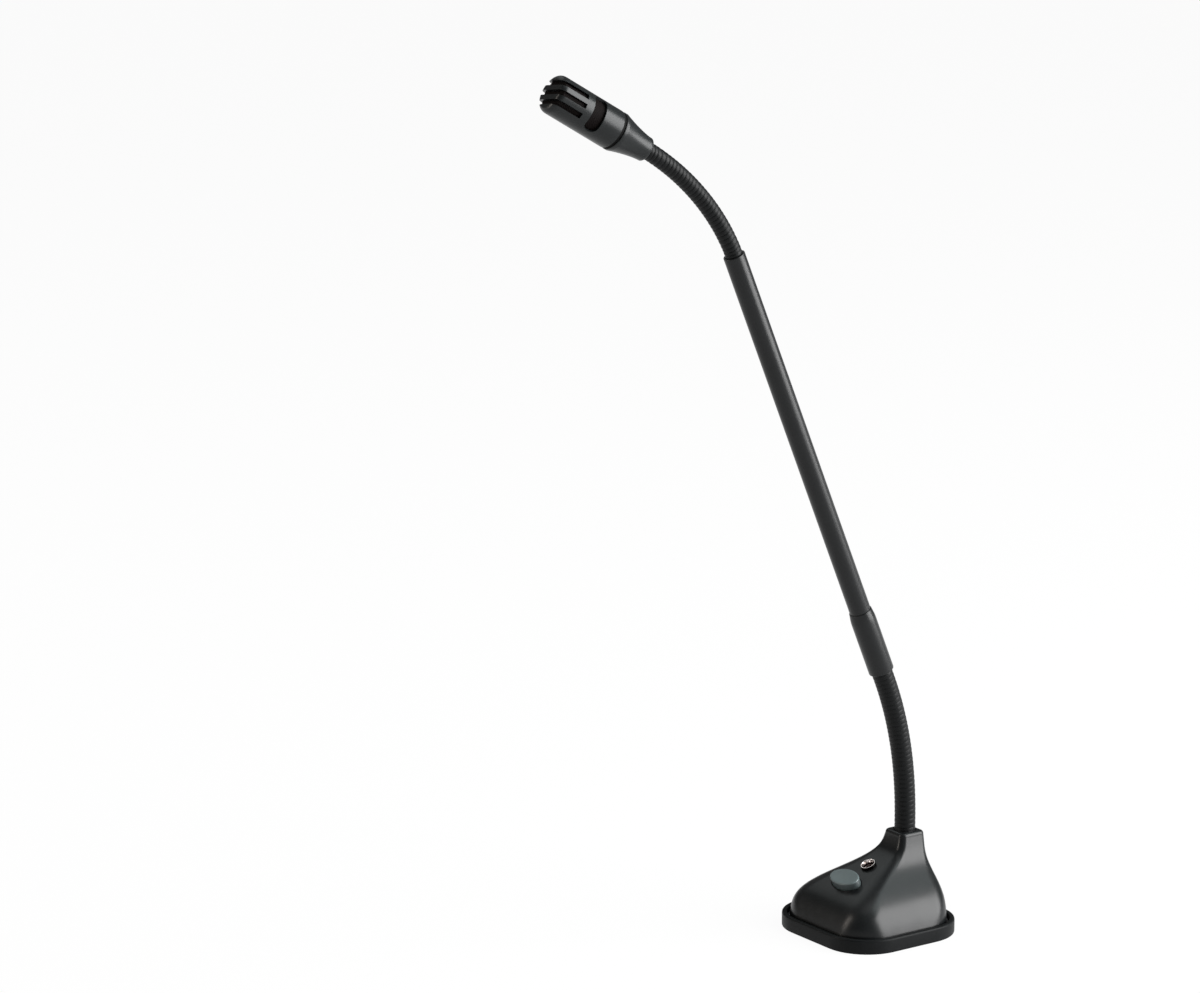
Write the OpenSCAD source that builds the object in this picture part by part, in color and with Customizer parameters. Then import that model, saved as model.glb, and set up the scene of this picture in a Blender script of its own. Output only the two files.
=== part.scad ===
// Gooseneck microphone: a foot with a talk button and a lamp, a thick flexible neck,
// a straight stem, a thin flexible neck and a slotted head.
// Millimetres, +Z up, the front of the foot towards -Y.
// The origin is the middle of the foot, on the surface that it stands on.

/* [Tray] */
// Width of the tray that the foot stands in
tray_w = 68.2; // [66:0.2:74]
// Depth of the tray, front to back
tray_d = 65.6; // [64:0.2:72]
// Height of the tray's rim
tray_h = 6.6; // [6:0.1:9]
// Rounding of the tray's corners
tray_round = 20.5; // [17:0.5:23]
// Thickness of the rim
tray_wall = 2.4; // [1.6:0.2:2.8]
// Thickness of the tray's floor
tray_floor = 2.3; // [2.2:0.1:3]
// Gap between the rim and the shell
rim_gap = 1.1; // [0.6:0.1:1.4]

/* [Shell] */
// Height of the collar's flat top
shell_h = 42.4; // [40:0.2:45]
// Width of the square collar at its top
collar_w = 13; // [12.4:0.1:14]
// How much the collar widens on each side for each millimetre down
collar_taper = 0.25; // [0.2:0.01:0.3]
// Rounding of the collar's upright corners
collar_round = 2.6; // [1.8:0.1:3.4]
// How fast the corners sharpen from the foot to the collar
corner_fade = 1.7; // [1.4:0.05:2]
// Rounding of the collar's top edge
collar_edge = 1.6; // [0.8:0.1:1.9]
// How long the sides stay upright above the foot
side_fall = 3.4; // [3.1:0.05:3.7]
// How hollow the sides sweep into the collar
side_sweep = 6.95; // [6:0.05:8]
// How long the front stays upright above the foot
front_fall = 3.7; // [3.4:0.05:4]
// How hollow the front sweeps into the collar
front_sweep = 5.45; // [5:0.05:6]
// How long the back stays upright above the foot
back_fall = 1; // [0.8:0.1:2]
// How hollow the back sweeps into the collar
back_sweep = 3.2; // [1.5:0.1:3.4]
// Thickness of the upright walls
shell_wall = 2.2; // [1.8:0.1:2.6]
// Thickness of the roof, measured straight down
roof_t = 2; // [1.6:0.1:2.4]
// Depth of the solid block under the collar's top
throat_h = 10; // [9:0.5:12]

/* [Bottom] */
// Thickness of the bottom plate
plate_t = 2; // [1.5:0.1:2.5]
// Side clearance of the bottom plate in the tray
plate_gap = 0.3; // [0.2:0.1:0.6]
// Distance of the corner screws from the middle, sideways
boss_x = 21.5; // [20:0.5:22.5]
// Distance of the corner screws from the middle, front to back
boss_y = 16.5; // [15:0.5:17.5]
// Diameter of the screw bosses
boss_d = 6.4; // [5.6:0.2:7]
// Thread diameter of the plate screws
screw_d = 3; // [2.5:0.1:3.5]
// Depth of the plate screws in the bosses
screw_grip = 5; // [4:0.5:5.5]
// Spacing of the threaded fixing inserts
insert_span = 32; // [30:1:34]
// Bore diameter of the fixing inserts, an M4 thread's core
insert_bore = 3.3; // [2.6:0.1:3.6]
// Outer diameter of the fixing inserts
insert_d = 7; // [6:0.2:8]
// Height of the fixing inserts
insert_h = 5; // [4:0.5:6]
// Bore diameter of the cable gland
gland_bore = 5.2; // [4.4:0.2:6]
// Flange diameter of the cable gland
gland_d = 13; // [12:0.5:14]

/* [Talk button] */
// Place of the button on the deck, front to back
button_y = -12.5; // [-13.4:0.1:-12]
// Width of the oval button, across the deck
button_w = 17.4; // [16.4:0.2:18]
// Length of the oval button, up the deck
button_l = 10; // [9.4:0.2:10.6]
// How far the button stands out of the deck
button_rise = 3.4; // [2.6:0.1:4]
// Travel of the button
button_travel = 1.2; // [0.8:0.1:1.4]
// Gap round the button
button_gap = 0.4; // [0.3:0.05:0.6]
// Width of the switch body
switch_w = 8; // [7:0.2:9]
// Diameter of the switch plunger
plunger_d = 3.4; // [2.8:0.2:4]

/* [Lamp] */
// Distance of the lamp from the button, up the deck
lamp_step = 13.6; // [13.2:0.1:14.4]
// Diameter of the lamp
lamp_d = 5; // [4.6:0.1:5.2]
// Flange diameter of the bright ring
bezel_d = 7; // [6.6:0.1:7.6]
// How far the bright ring stands out
bezel_rise = 1.4; // [1:0.1:1.7]

/* [Board] */
// Depth of the board's top face below the deck
board_drop = 9; // [8.8:0.1:9.6]
// Thickness of the board
board_t = 1.6; // [1.2:0.1:1.8]
// Width of the board
board_w = 27; // [26.4:0.2:28]
// Distance of the board's posts from the middle
post_x = 11; // [10.8:0.1:11.2]
// Diameter of the board's posts
post_d = 4.4; // [4:0.1:4.6]
// Thread diameter of the board screws
board_screw_d = 2; // [1.6:0.1:2.2]

/* [Lower neck] */
// Place of the neck behind the middle of the foot
neck_y = 20.4; // [19.9:0.1:20.9]
// Turn of the bent neck to the left of straight ahead
neck_yaw = 7; // [0:1:15]
// Outer diameter of the lower neck
low_d = 9.4; // [9:0.1:9.6]
// Thickness of a rib of the lower neck
low_rib = 1.15; // [1:0.05:1.2]
// Distance from rib to rib of the lower neck
low_pitch = 2.14; // [2.12:0.02:2.6]
// Bore diameter of the lower neck
low_bore = 5; // [4:0.2:5.4]
// How the lower neck's bend is shared: under 1 bends more near the foot, over 1 near the stem
low_curl = 1.15; // [0.8:0.05:1.2]
// Lean of the stem from upright
low_bend = 21.6; // [0:0.3:24]

/* [Stem] */
// Distance from the lower neck to the upper neck
stem_len = 208.5; // [150:0.5:260]
// Outer diameter of the tube
tube_d = 9.6; // [9.4:0.1:10]
// Wall of the tube
tube_wall = 0.8; // [0.6:0.1:1]
// Outer diameter of the coupling sleeve
sleeve_d = 11.4; // [11:0.1:12.6]
// Length of the coupling sleeve
sleeve_len = 31; // [24:1:40]
// Length of the sleeve's tapered top
sleeve_taper = 4; // [2:0.5:6]
// Length of the fittings in the tube's ends
plug_len = 12; // [8:1:16]

/* [Upper neck] */
// Outer diameter of the upper neck
up_d = 7.8; // [7.4:0.1:8]
// Thickness of a rib of the upper neck
up_rib = 1; // [0.85:0.05:1.05]
// Distance from rib to rib of the upper neck
up_pitch = 2.07; // [2.05:0.01:2.3]
// Bore diameter of the upper neck
up_bore = 3.5; // [3:0.1:3.8]
// How the upper neck's bend is shared: under 1 bends more near the stem, over 1 near the head
up_curl = 0.85; // [0.8:0.05:1.2]
// Further bend from the stem to the head
up_bend = 36.9; // [0:0.3:40]

/* [Head] */
// Length of the head
head_len = 53; // [52:0.2:57]
// Diameter of the head
head_d = 17.5; // [16.7:0.1:18.4]
// Length of the tail cone
cone_len = 18.4; // [17.6:0.1:19.2]
// Diameter of the tail cone's small end
cone_end_d = 10.8; // [10:0.1:11.6]
// How hollow the tail cone is
cone_flare = 1.5; // [1.2:0.05:1.8]
// Straight end of the tail cone before the seam
cone_land = 1.4; // [1:0.1:2]
// Width of the seam between cone and barrel
seam_w = 1.4; // [0.9:0.1:1.7]
// Depth of the seam's groove
seam_depth = 0.5; // [0.3:0.05:0.6]
// Wall of the barrel
cap_wall = 1.1; // [0.9:0.05:1.3]
// Thickness of the barrel's front
cap_front = 2; // [1.5:0.1:2.4]
// Rounding of the barrel's front edge
cap_edge = 2.5; // [1.4:0.1:2.8]
// Length of the slots down the side
slot_len = 13.8; // [12:0.1:14.5]
// Width of a slot
slot_w = 2.2; // [1.4:0.1:2.4]
// Distance from slot to slot
slot_pitch = 4.4; // [4.1:0.1:4.7]
// Length of the side windows along the barrel
window_len = 6.4; // [5.4:0.1:7]
// Solid ring between slots and windows
window_ring = 3.7; // [3:0.1:4.2]
// Angle that each side window spans
window_angle = 120; // [100:2:140]
// Turn of the slots about the head's axis
head_roll = 100; // [0:1:180]
// Length of the cone's spigot in the barrel
spigot_len = 6; // [4:0.5:6.5]
// Thickness of the mesh
mesh_t = 0.3; // [0.2:0.05:0.5]
// Diameter of the capsule
capsule_d = 9.7; // [9:0.1:10.4]
// Length of the capsule
capsule_len = 8; // [6.5:0.5:9]
// Diameter of the inner cable
cable_d = 2.2; // [1.6:0.1:2.4]

/* [Hidden] */
$fn = 48;

// Clearances
fit_gap = 0.05;
hole_gap = 0.2;
stop_gap = 0.35;
cut = 1;

// Foot: half sizes of the tray, and the shell's outline just inside its rim
half_w = tray_w / 2;
half_d = tray_d / 2;
shell_inset = tray_wall + rim_gap;
foot_x = half_w - shell_inset;
foot_y = half_d - shell_inset;
foot_round = tray_round - shell_inset;
plate_top = tray_floor + plate_t;
collar_half = collar_w / 2;
throat_z = shell_h - throat_h;

// Deck: the frame of the button, on the slope of the shell's front
function rise_share(z) = min(max((z - plate_top) / (shell_h - plate_top), 0), 1);
function sweep_in(z, fall, sweep) = pow(1 - pow(rise_share(z), fall), sweep);
function lean(z) = collar_taper * (1 - rise_share(z)) * (shell_h - plate_top);
function front_line(z) =
    neck_y - collar_half - lean(z) - (neck_y - collar_half - lean(plate_top) + foot_y) * sweep_in(z, front_fall, front_sweep);
function deck_find(y, low, high, tries) =
    let (mid = (low + high) / 2)
    tries == 0 ? mid : front_line(mid) < y ? deck_find(y, mid, high, tries - 1) : deck_find(y, low, mid, tries - 1);
function deck_z(y) = deck_find(y, plate_top, shell_h, 40);
deck_tilt = atan(deck_z(button_y + 0.5) - deck_z(button_y - 0.5));
deck_t = roof_t * cos(deck_tilt) + shell_wall * sin(deck_tilt);
lamp_y = button_y + lamp_step * cos(deck_tilt);
lamp_seat = (deck_z(lamp_y) - deck_z(button_y)) * cos(deck_tilt) - lamp_step * sin(deck_tilt) * cos(deck_tilt);
flange_t = 1;
flange_top = -deck_t - 2 * stop_gap;
flange_w = 1.2;
button_crown = 0.6;
plunger_top = flange_top - flange_t;
switch_top = plunger_top - button_travel - stop_gap;
plunger_grip = 0.9;
lamp_hole_d = bezel_d - 0.9;
bezel_tube_d = lamp_hole_d - 2 * fit_gap;
lamp_collar_top = -4.4;
lamp_collar_t = 0.9;
lead_d = 0.5;
lead_span = 2.54;
board_low = -8;
board_waist = 9.4;
board_tip = lamp_step + 4.6;
board_tip_w = 10;
post_step = 6;
post_screw_grip = 4;
screw_head_d = 1.9 * screw_d;
screw_head_h = 0.62 * screw_d;
board_head_d = 2 * board_screw_d;
board_head_h = 0.7 * board_screw_d;
header_step = 8;
header_h = 4;
header_w = 6;
gland_y = 2;
gland_groove = 0.9;
gland_neck_d = gland_d - 3;
gland_lip_t = 1.6;
set_screw_d = 3;
set_screw_drop = 5;
set_screw_z = shell_h - set_screw_drop;
set_screw_len = 1.6;
ferrule_drop = 1;

// Necks: hinges between short ribbed lengths, the rest bend shared among them
hinges = 8;
link_ribs = 4;
low_end_ribs = 4;
up_end_ribs = 2;
head_lean = low_bend + up_bend;

function low_lean(i) = low_bend * pow(i / hinges, low_curl);
function up_lean(i) = low_bend + up_bend * pow(i / hinges, up_curl);
function along(lean) = [sin(lean), 0, cos(lean)];
function ribs(i, end_ribs) = (i == 0 || i == hinges) ? end_ribs : link_ribs;
function low_point(i) =
    i == 0 ? [0, 0, shell_h] : low_point(i - 1) + ribs(i - 1, low_end_ribs) * low_pitch * along(low_lean(i - 1));
stem_foot = low_point(hinges + 1);
stem_head = stem_foot + stem_len * along(low_bend);
function up_point(i) =
    i == 0 ? stem_head : up_point(i - 1) + ribs(i - 1, up_end_ribs) * up_pitch * along(up_lean(i - 1));
head_foot = up_point(hinges + 1);

// Stem and head: seats that share the tube's and the barrel's sizes
tube_r = tube_d / 2;
tube_bore_r = tube_r - tube_wall;
sleeve_bore_r = tube_r + fit_gap;
plug_foot = 8;
head_r = head_d / 2;
cap_bore_r = head_r - cap_wall;
cap_back = cone_len + seam_w / 2;
cone_front = cone_len - seam_w / 2;
spigot_end = cap_back + spigot_len;
spigot_r = cap_bore_r - fit_gap;
mesh_r = cap_bore_r - fit_gap;
mesh_front = head_len - cap_front - fit_gap;
slot_end = head_len - slot_len;
window_front = slot_end - window_ring;
capsule_board_t = 1.2;
board_seat = spigot_end + fit_gap;
board_top = board_seat + capsule_board_t;
capsule_mid = (slot_end + window_front) / 2;
boot_len = window_ring - 0.6;
head_ferrule_d = up_d - 1;
head_ferrule_len = 6;

shell_black = [0.09, 0.10, 0.11];
rubber_black = [0.06, 0.06, 0.07];
steel = [0.62, 0.63, 0.65];
metal_black = [0.12, 0.13, 0.14];
brass = [0.72, 0.58, 0.30];

// Frames of the deck, the bent neck, the stem and the head

module on_deck() {
    translate([0, button_y, deck_z(button_y)]) rotate([deck_tilt, 0, 0]) children();
}

module on_neck() {
    translate([0, neck_y, 0]) rotate([0, 0, -90 - neck_yaw]) children();
}

module on_stem() {
    on_neck() translate(stem_foot) rotate([0, low_bend, 0]) children();
}

module on_head() {
    on_neck() translate(head_foot) rotate([0, head_lean, 0]) children();
}

// Shapes used by several pieces

function unit(a) = [cos(a), sin(a)];

// Rectangle with rounded corners, moved in by inset
function tray_outline(inset) =
    let (soft = tray_round - inset, steps = 10)
    [for (q = [0:3], j = [0:steps])
        [(q == 0 || q == 3 ? 1 : -1) * (half_w - tray_round), (q < 2 ? 1 : -1) * (half_d - tray_round)]
            + soft * unit(90 * q + 90 * j / steps)];

module tray_slab(inset, low, high) {
    translate([0, 0, low]) linear_extrude(high - low) polygon(tray_outline(inset));
}

// One level of the shell: a rectangle with rounded corners that shrinks from the foot to the collar
function shell_level(z, level_z, inset, steps) =
    let (t = rise_share(z), heel = neck_y + collar_half)
    let (x = collar_half + lean(z) + (foot_x - collar_half - lean(plate_top)) * sweep_in(z, side_fall, side_sweep) - inset)
    let (y_front = front_line(z) + inset)
    let (y_back = heel + (foot_y - heel) * sweep_in(z, back_fall, back_sweep) - inset)
    let (fade = pow(1 - t, corner_fade))
    let (soft = max(collar_round + (foot_round - collar_round) * fade - inset, 0.4))
    let (rx = min(soft, x - 0.1), ry = min(soft, (y_back - y_front) / 2 - 0.1))
    [for (q = [0:3], j = [0:steps])
        let (a = 90 * q + 90 * j / steps)
        [(q == 0 || q == 3 ? x - rx : rx - x) + rx * cos(a), (q < 2 ? y_back - ry : y_front + ry) + ry * sin(a), level_z]];

// Closed skin over a stack of levels with the same number of points
module skin(levels) {
    n = len(levels[0]);
    m = len(levels);
    polyhedron(
        points = [for (level = levels) each level],
        faces = concat(
            [[for (j = [0:n - 1]) j]],
            [[for (j = [n - 1:-1:0]) (m - 1) * n + j]],
            [for (i = [0:m - 2], j = [0:n - 1]) [i * n + j, (i + 1) * n + (j + 1) % n, i * n + (j + 1) % n]],
            [for (i = [0:m - 2], j = [0:n - 1]) [i * n + j, (i + 1) * n + j, (i + 1) * n + (j + 1) % n]]
        )
    );
}

module ring(outer, inner, low, high) {
    translate([0, 0, low]) difference() {
        cylinder(h = high - low, r = outer);
        translate([0, 0, -cut]) cylinder(h = high - low + 2 * cut, r = inner);
    }
}

module rod(r, low, high) {
    translate([0, 0, low]) cylinder(h = high - low, r = r);
}

// Half section of a ribbed length of neck: round ribs on a core, with its bore
function rib_section(count, pitch, crest_d, rib, bore_d, low_fixed, high_fixed) =
    let (rib_r = rib / 2, mid = crest_d / 2 - rib_r, spread = 100, steps = 8)
    let (core = mid + rib_r * cos(spread), lip = pitch / 2 - rib_r * sin(spread), total = count * pitch)
    concat(
        [[bore_d / 2, low_fixed ? 0 : lip]],
        low_fixed ? [[core, 0]] : [],
        [for (k = [0:count - 1], j = [0:steps])
            let (a = spread * (2 * j / steps - 1))
            [mid + rib_r * cos(a), (k + 0.5) * pitch + rib_r * sin(a)]],
        high_fixed ? [[core, total]] : [],
        [[bore_d / 2, high_fixed ? total : total - lip]]
    );

module ribbed(i, end_ribs, pitch, crest_d, rib, bore_d) {
    rotate_extrude() polygon(rib_section(ribs(i, end_ribs), pitch, crest_d, rib, bore_d, i == 0, i == hinges));
}

// Oval of the button, grown by a margin
module oval_slab(grow, low, high) {
    translate([0, 0, low]) linear_extrude(high - low) polygon([for (a = [0:7.5:352.5])
        [(button_w / 2 + grow) * cos(a), (button_l / 2 + grow) * sin(a)]]);
}

module corner_places() {
    for (x = [-boss_x, boss_x], y = [-boss_y, boss_y]) translate([x, y, 0]) children();
}

module insert_places() {
    for (x = [-insert_span / 2, insert_span / 2]) translate([x, 0, 0]) children();
}

module post_places() {
    for (x = [-post_x, post_x]) translate([x, post_step, 0]) children();
}

// Foot

module base_tray() {
    color(rubber_black) difference() {
        tray_slab(0, 0, tray_h);
        tray_slab(tray_wall, tray_floor, tray_h + cut);
        corner_places() rod(screw_head_d / 2 + hole_gap, -cut, tray_floor + cut);
        insert_places() rod(insert_d / 2, -cut, tray_floor + cut);
        translate([0, gland_y, 0]) rod(gland_d / 2 + hole_gap, -cut, tray_floor + cut);
    }
}

module shell_body() {
    levels = 18;
    corner_steps = 7;
    straight_h = shell_h - collar_edge - plate_top;
    skin(concat(
        [for (i = [0:levels]) let (z = plate_top + straight_h * i / levels) shell_level(z, z, 0, corner_steps)],
        [for (a = [30:30:90])
            let (z = shell_h - collar_edge * (1 - sin(a)))
            shell_level(shell_h - collar_edge, z, collar_edge * (1 - cos(a)), corner_steps)]
    ));
}

module shell_cavity() {
    levels = 9;
    low = plate_top - cut;
    skin([for (i = [0:levels])
        let (z = low + (throat_z - low) * i / levels)
        shell_level(z + roof_t, z, shell_wall, 4)]);
}

module base_shell() {
    color(shell_black) difference() {
        shell_body();
        difference() {
            shell_cavity();
            corner_places() rod(boss_d / 2, plate_top, throat_z);
            on_deck() post_places() rod(post_d / 2, -board_drop, 0);
        }
        corner_places() rod(screw_d / 2 + fit_gap, plate_top - cut, plate_top + screw_grip + 0.5);
        on_deck() {
            post_places() rod(board_screw_d / 2 + fit_gap, -board_drop - cut, post_screw_grip + 0.5 - board_drop);
            oval_slab(button_gap, -deck_t - 3 * cut, deck_t + cut);
            translate([0, lamp_step, 0]) {
                rod(lamp_hole_d / 2, -deck_t - 3 * cut, deck_t + cut);
                rod(bezel_d / 2 + hole_gap, lamp_seat, deck_t + cut);
            }
        }
        translate([0, neck_y, 0]) rod(low_d / 2 + fit_gap, throat_z - cut, shell_h + cut);
        translate([0, neck_y, set_screw_z]) rotate([-90, 0, 0]) rod(set_screw_d / 2 + fit_gap, 0, 2 * collar_w);
    }
}

module bottom_plate() {
    color(steel) difference() {
        tray_slab(tray_wall + plate_gap, tray_floor, plate_top);
        corner_places() rod(screw_d / 2 + hole_gap, 0, plate_top + cut);
        insert_places() rod(insert_d / 2 - cut + fit_gap, 0, plate_top + cut);
        translate([0, gland_y, 0]) rod(gland_neck_d / 2 + fit_gap, 0, plate_top + cut);
    }
}

module plate_screws() {
    color(steel) corner_places() {
        rod(screw_d / 2, tray_floor, plate_top + screw_grip);
        difference() {
            rod(screw_head_d / 2, tray_floor - screw_head_h, tray_floor);
            translate([0, 0, tray_floor - screw_head_h - cut])
                cylinder(h = screw_head_h / 2 + cut, r = screw_d / 3, $fn = 6);
        }
    }
}

module fixing_inserts() {
    color(brass) insert_places() difference() {
        union() {
            rod(insert_d / 2 - cut, tray_floor, plate_top);
            rod(insert_d / 2, plate_top, tray_floor + insert_h);
        }
        rod(insert_bore / 2, 0, tray_floor + insert_h + cut);
    }
}

module cable_grommet() {
    groove_low = tray_floor;
    color(rubber_black) translate([0, gland_y, 0]) difference() {
        union() {
            rod(gland_d / 2, groove_low - gland_lip_t, groove_low);
            rod(gland_neck_d / 2, groove_low, plate_top);
            rod(gland_d / 2 - gland_groove, plate_top, plate_top + gland_lip_t);
        }
        rod(gland_bore / 2, 0, plate_top + gland_lip_t + cut);
    }
}

module switch_board() {
    color("darkgreen") on_deck() difference() {
        translate([0, 0, -board_drop - board_t]) linear_extrude(board_t) polygon([
            [-board_w / 2, board_low], [board_w / 2, board_low],
            [board_w / 2, board_waist], [board_tip_w / 2, board_waist],
            [board_tip_w / 2, board_tip], [-board_tip_w / 2, board_tip],
            [-board_tip_w / 2, board_waist], [-board_w / 2, board_waist]
        ]);
        post_places() rod(board_screw_d / 2 + hole_gap, -board_drop - board_t - cut, cut - board_drop);
    }
}

module board_screws() {
    under = -board_drop - board_t;
    color(steel) on_deck() post_places() {
        rod(board_screw_d / 2, under, post_screw_grip - board_drop);
        rod(board_head_d / 2, under - board_head_h, under);
    }
}

module cable_header() {
    reach = (neck_y - button_y) - header_step * cos(deck_tilt) - (board_drop + board_t + header_h) * sin(deck_tilt);
    color("ivory") on_deck()
        translate([-reach * tan(neck_yaw) - header_w / 2, header_step - header_w / 2, -board_drop - board_t - header_h])
            cube([header_w, header_w, header_h]);
}

module push_switch() {
    color("dimgray") on_deck() difference() {
        translate([-switch_w / 2, -switch_w / 2, -board_drop]) cube([switch_w, switch_w, board_drop + switch_top]);
        rod(plunger_d / 2 + fit_gap, switch_top - plunger_grip - button_travel - stop_gap, switch_top + cut);
    }
}

module switch_plunger() {
    color("white") on_deck() rod(plunger_d / 2, switch_top - plunger_grip, plunger_top);
}

module talk_button() {
    steps = 3;
    shoulder = button_rise - button_crown;
    color([0.35, 0.41, 0.41]) on_deck() {
        oval_slab(flange_w, plunger_top, flange_top);
        oval_slab(0, plunger_top, shoulder);
        for (k = [1:steps])
            oval_slab(-button_crown * (1 - cos(90 * k / (steps + 1))), plunger_top,
                shoulder + button_crown * sin(90 * k / steps));
    }
}

module indicator_led() {
    lamp_r = lamp_d / 2;
    color([0.16, 0.10, 0.10]) on_deck() translate([0, lamp_step, 0]) {
        rotate_extrude() polygon([
            [0, lamp_collar_top - lamp_collar_t],
            [lamp_r + 0.4, lamp_collar_top - lamp_collar_t], [lamp_r + 0.4, lamp_collar_top],
            [lamp_r, lamp_collar_top],
            for (a = [0:15:90]) [lamp_r * cos(a), lamp_seat - lamp_r + 0.5 + lamp_r * sin(a)]
        ]);
        for (x = [-lead_span / 2, lead_span / 2])
            translate([x, 0, 0]) rod(lead_d / 2, -board_drop, lamp_collar_top - lamp_collar_t);
    }
}

module led_bezel() {
    bore_r = lamp_d / 2 + fit_gap;
    tube_r = bezel_tube_d / 2;
    low = lamp_seat + fit_gap;
    high = lamp_seat + bezel_rise;
    color("silver") on_deck() translate([0, lamp_step, 0]) rotate_extrude() polygon([
        [bore_r, lamp_collar_top], [tube_r, lamp_collar_top], [tube_r, low],
        [bezel_d / 2, low], [bezel_d / 2, high - 0.3], [bezel_d / 2 - 0.3, high],
        [bezel_d / 2 - 0.5, high], [bore_r, low]
    ]);
}

module neck_set_screw() {
    start = low_d / 2 + fit_gap;
    color(steel) translate([0, neck_y, set_screw_z]) rotate([-90, 0, 0]) difference() {
        rod(set_screw_d / 2, start, start + set_screw_len);
        translate([0, 0, start + set_screw_len / 2]) cylinder(h = set_screw_len, r = set_screw_d / 4, $fn = 6);
    }
}

module neck_root_ferrule() {
    color(steel) translate([0, neck_y, 0]) ring(low_d / 2, low_bore / 2, throat_z - ferrule_drop, shell_h);
}

// Lower neck

module lower_neck(i) {
    color(metal_black) on_neck() translate(low_point(i)) rotate([0, low_lean(i), 0])
        ribbed(i, low_end_ribs, low_pitch, low_d, low_rib, low_bore);
}

// Stem

module stem_plug() {
    color(brass) on_stem() difference() {
        union() {
            rod(tube_r, 0, plug_foot);
            rod(tube_bore_r - fit_gap, plug_foot, plug_foot + plug_len);
        }
        rod(up_bore / 2, -cut, plug_foot + plug_len + cut);
    }
}

module stem_sleeve() {
    outer = sleeve_d / 2;
    tip = sleeve_bore_r + 0.3;
    color(metal_black) on_stem() rotate_extrude() polygon([
        [sleeve_bore_r, 0], [outer - 0.3, 0], [outer, 0.3], [outer, sleeve_len - sleeve_taper],
        [tip, sleeve_len], [sleeve_bore_r, sleeve_len]
    ]);
}

module stem_tube() {
    lip = 0.3;
    color(metal_black) on_stem() rotate_extrude() polygon([
        [tube_bore_r, plug_foot], [tube_r, plug_foot], [tube_r, stem_len - lip],
        [tube_r - lip, stem_len], [tube_bore_r, stem_len]
    ]);
}

module stem_bush() {
    color(brass) on_stem() ring(tube_bore_r - fit_gap, up_bore / 2, stem_len - plug_len, stem_len);
}

// Upper neck

module upper_neck(i) {
    color(metal_black) on_neck() translate(up_point(i)) rotate([0, up_lean(i), 0])
        ribbed(i, up_end_ribs, up_pitch, up_d, up_rib, up_bore);
}

// Head

module head_ferrule() {
    color(brass) on_head() ring(head_ferrule_d / 2, up_bore / 2, 0, head_ferrule_len);
}

module tail_cone() {
    end_r = cone_end_d / 2;
    lip = 0.3;
    steps = 8;
    hollow = cone_front - cone_land;
    color(metal_black) on_head() difference() {
        rotate_extrude() polygon(concat(
            [[up_bore / 2, 0], [end_r - lip, 0]],
            [for (k = [0:steps])
                let (v = lip + (hollow - lip) * k / steps)
                [end_r + (head_r - end_r) * pow(v / hollow, cone_flare), v]],
            [[head_r, cone_front], [spigot_r, cone_front], [spigot_r, spigot_end], [up_bore / 2, spigot_end]]
        ));
        rod(head_ferrule_d / 2 + fit_gap, -cut, head_ferrule_len + fit_gap);
    }
}

module seam_ring() {
    color(rubber_black) on_head() ring(head_r - seam_depth, cap_bore_r, cone_front, cap_back);
}

// Side window: a slot that spans an angle of the barrel
module window_cut() {
    rotate([0, 0, -window_angle / 2]) rotate_extrude(angle = window_angle)
        translate([cap_bore_r - cut, window_front - window_len]) square([cap_wall + 2 * cut, window_len]);
}

module grille_cap() {
    color([0.24, 0.25, 0.26]) on_head() rotate([0, 0, head_roll]) difference() {
        rotate_extrude() polygon(concat(
            [[cap_bore_r, cap_back], [head_r, cap_back]],
            [for (a = [0:15:90]) [head_r - cap_edge + cap_edge * cos(a), head_len - cap_edge + cap_edge * sin(a)]],
            [[0, head_len], [0, head_len - cap_front], [cap_bore_r, head_len - cap_front]]
        ));
        for (k = [-1:1])
            translate([-head_d, k * slot_pitch - slot_w / 2, slot_end]) cube([2 * head_d, slot_w, slot_len + cut]);
        for (turn = [0, 180]) rotate([0, 0, turn]) window_cut();
    }
}

module mesh_liner() {
    color([0.20, 0.12, 0.10]) on_head() rotate_extrude() polygon([
        [mesh_r - mesh_t, spigot_end], [mesh_r, spigot_end], [mesh_r, mesh_front], [0, mesh_front],
        [0, mesh_front - mesh_t], [mesh_r - mesh_t, mesh_front - mesh_t]
    ]);
}

module capsule() {
    pin_r = 0.35;
    pin_span = 3;
    color("silver") on_head() {
        rod(capsule_d / 2, capsule_mid - capsule_len / 2, capsule_mid + capsule_len / 2);
        for (x = [-pin_span / 2, pin_span / 2])
            translate([x, 0, 0]) rod(pin_r, board_top, capsule_mid - capsule_len / 2);
    }
}

module capsule_boot() {
    color(rubber_black) on_head()
        ring(mesh_r - mesh_t - fit_gap, capsule_d / 2 + fit_gap, capsule_mid - boot_len / 2, capsule_mid + boot_len / 2);
}

module capsule_board() {
    color("darkgreen") on_head() rod(mesh_r - mesh_t - fit_gap, board_seat, board_top);
}

// Inner cable: a curve from the header to the collar, then along the necks and the stem to the head

cable_start = board_drop + board_t + header_h + 0.35 * cable_d;
header_back = header_step * cos(deck_tilt) + cable_start * sin(deck_tilt);
header_down = header_step * sin(deck_tilt) - cable_start * cos(deck_tilt);
cable_foot = [(neck_y - button_y - header_back) / cos(neck_yaw), 0, deck_z(button_y) + header_down];

function bow(t, a, b, c, d) =
    pow(1 - t, 3) * a + 3 * t * pow(1 - t, 2) * b + 3 * t * t * (1 - t) * c + pow(t, 3) * d;

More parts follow.
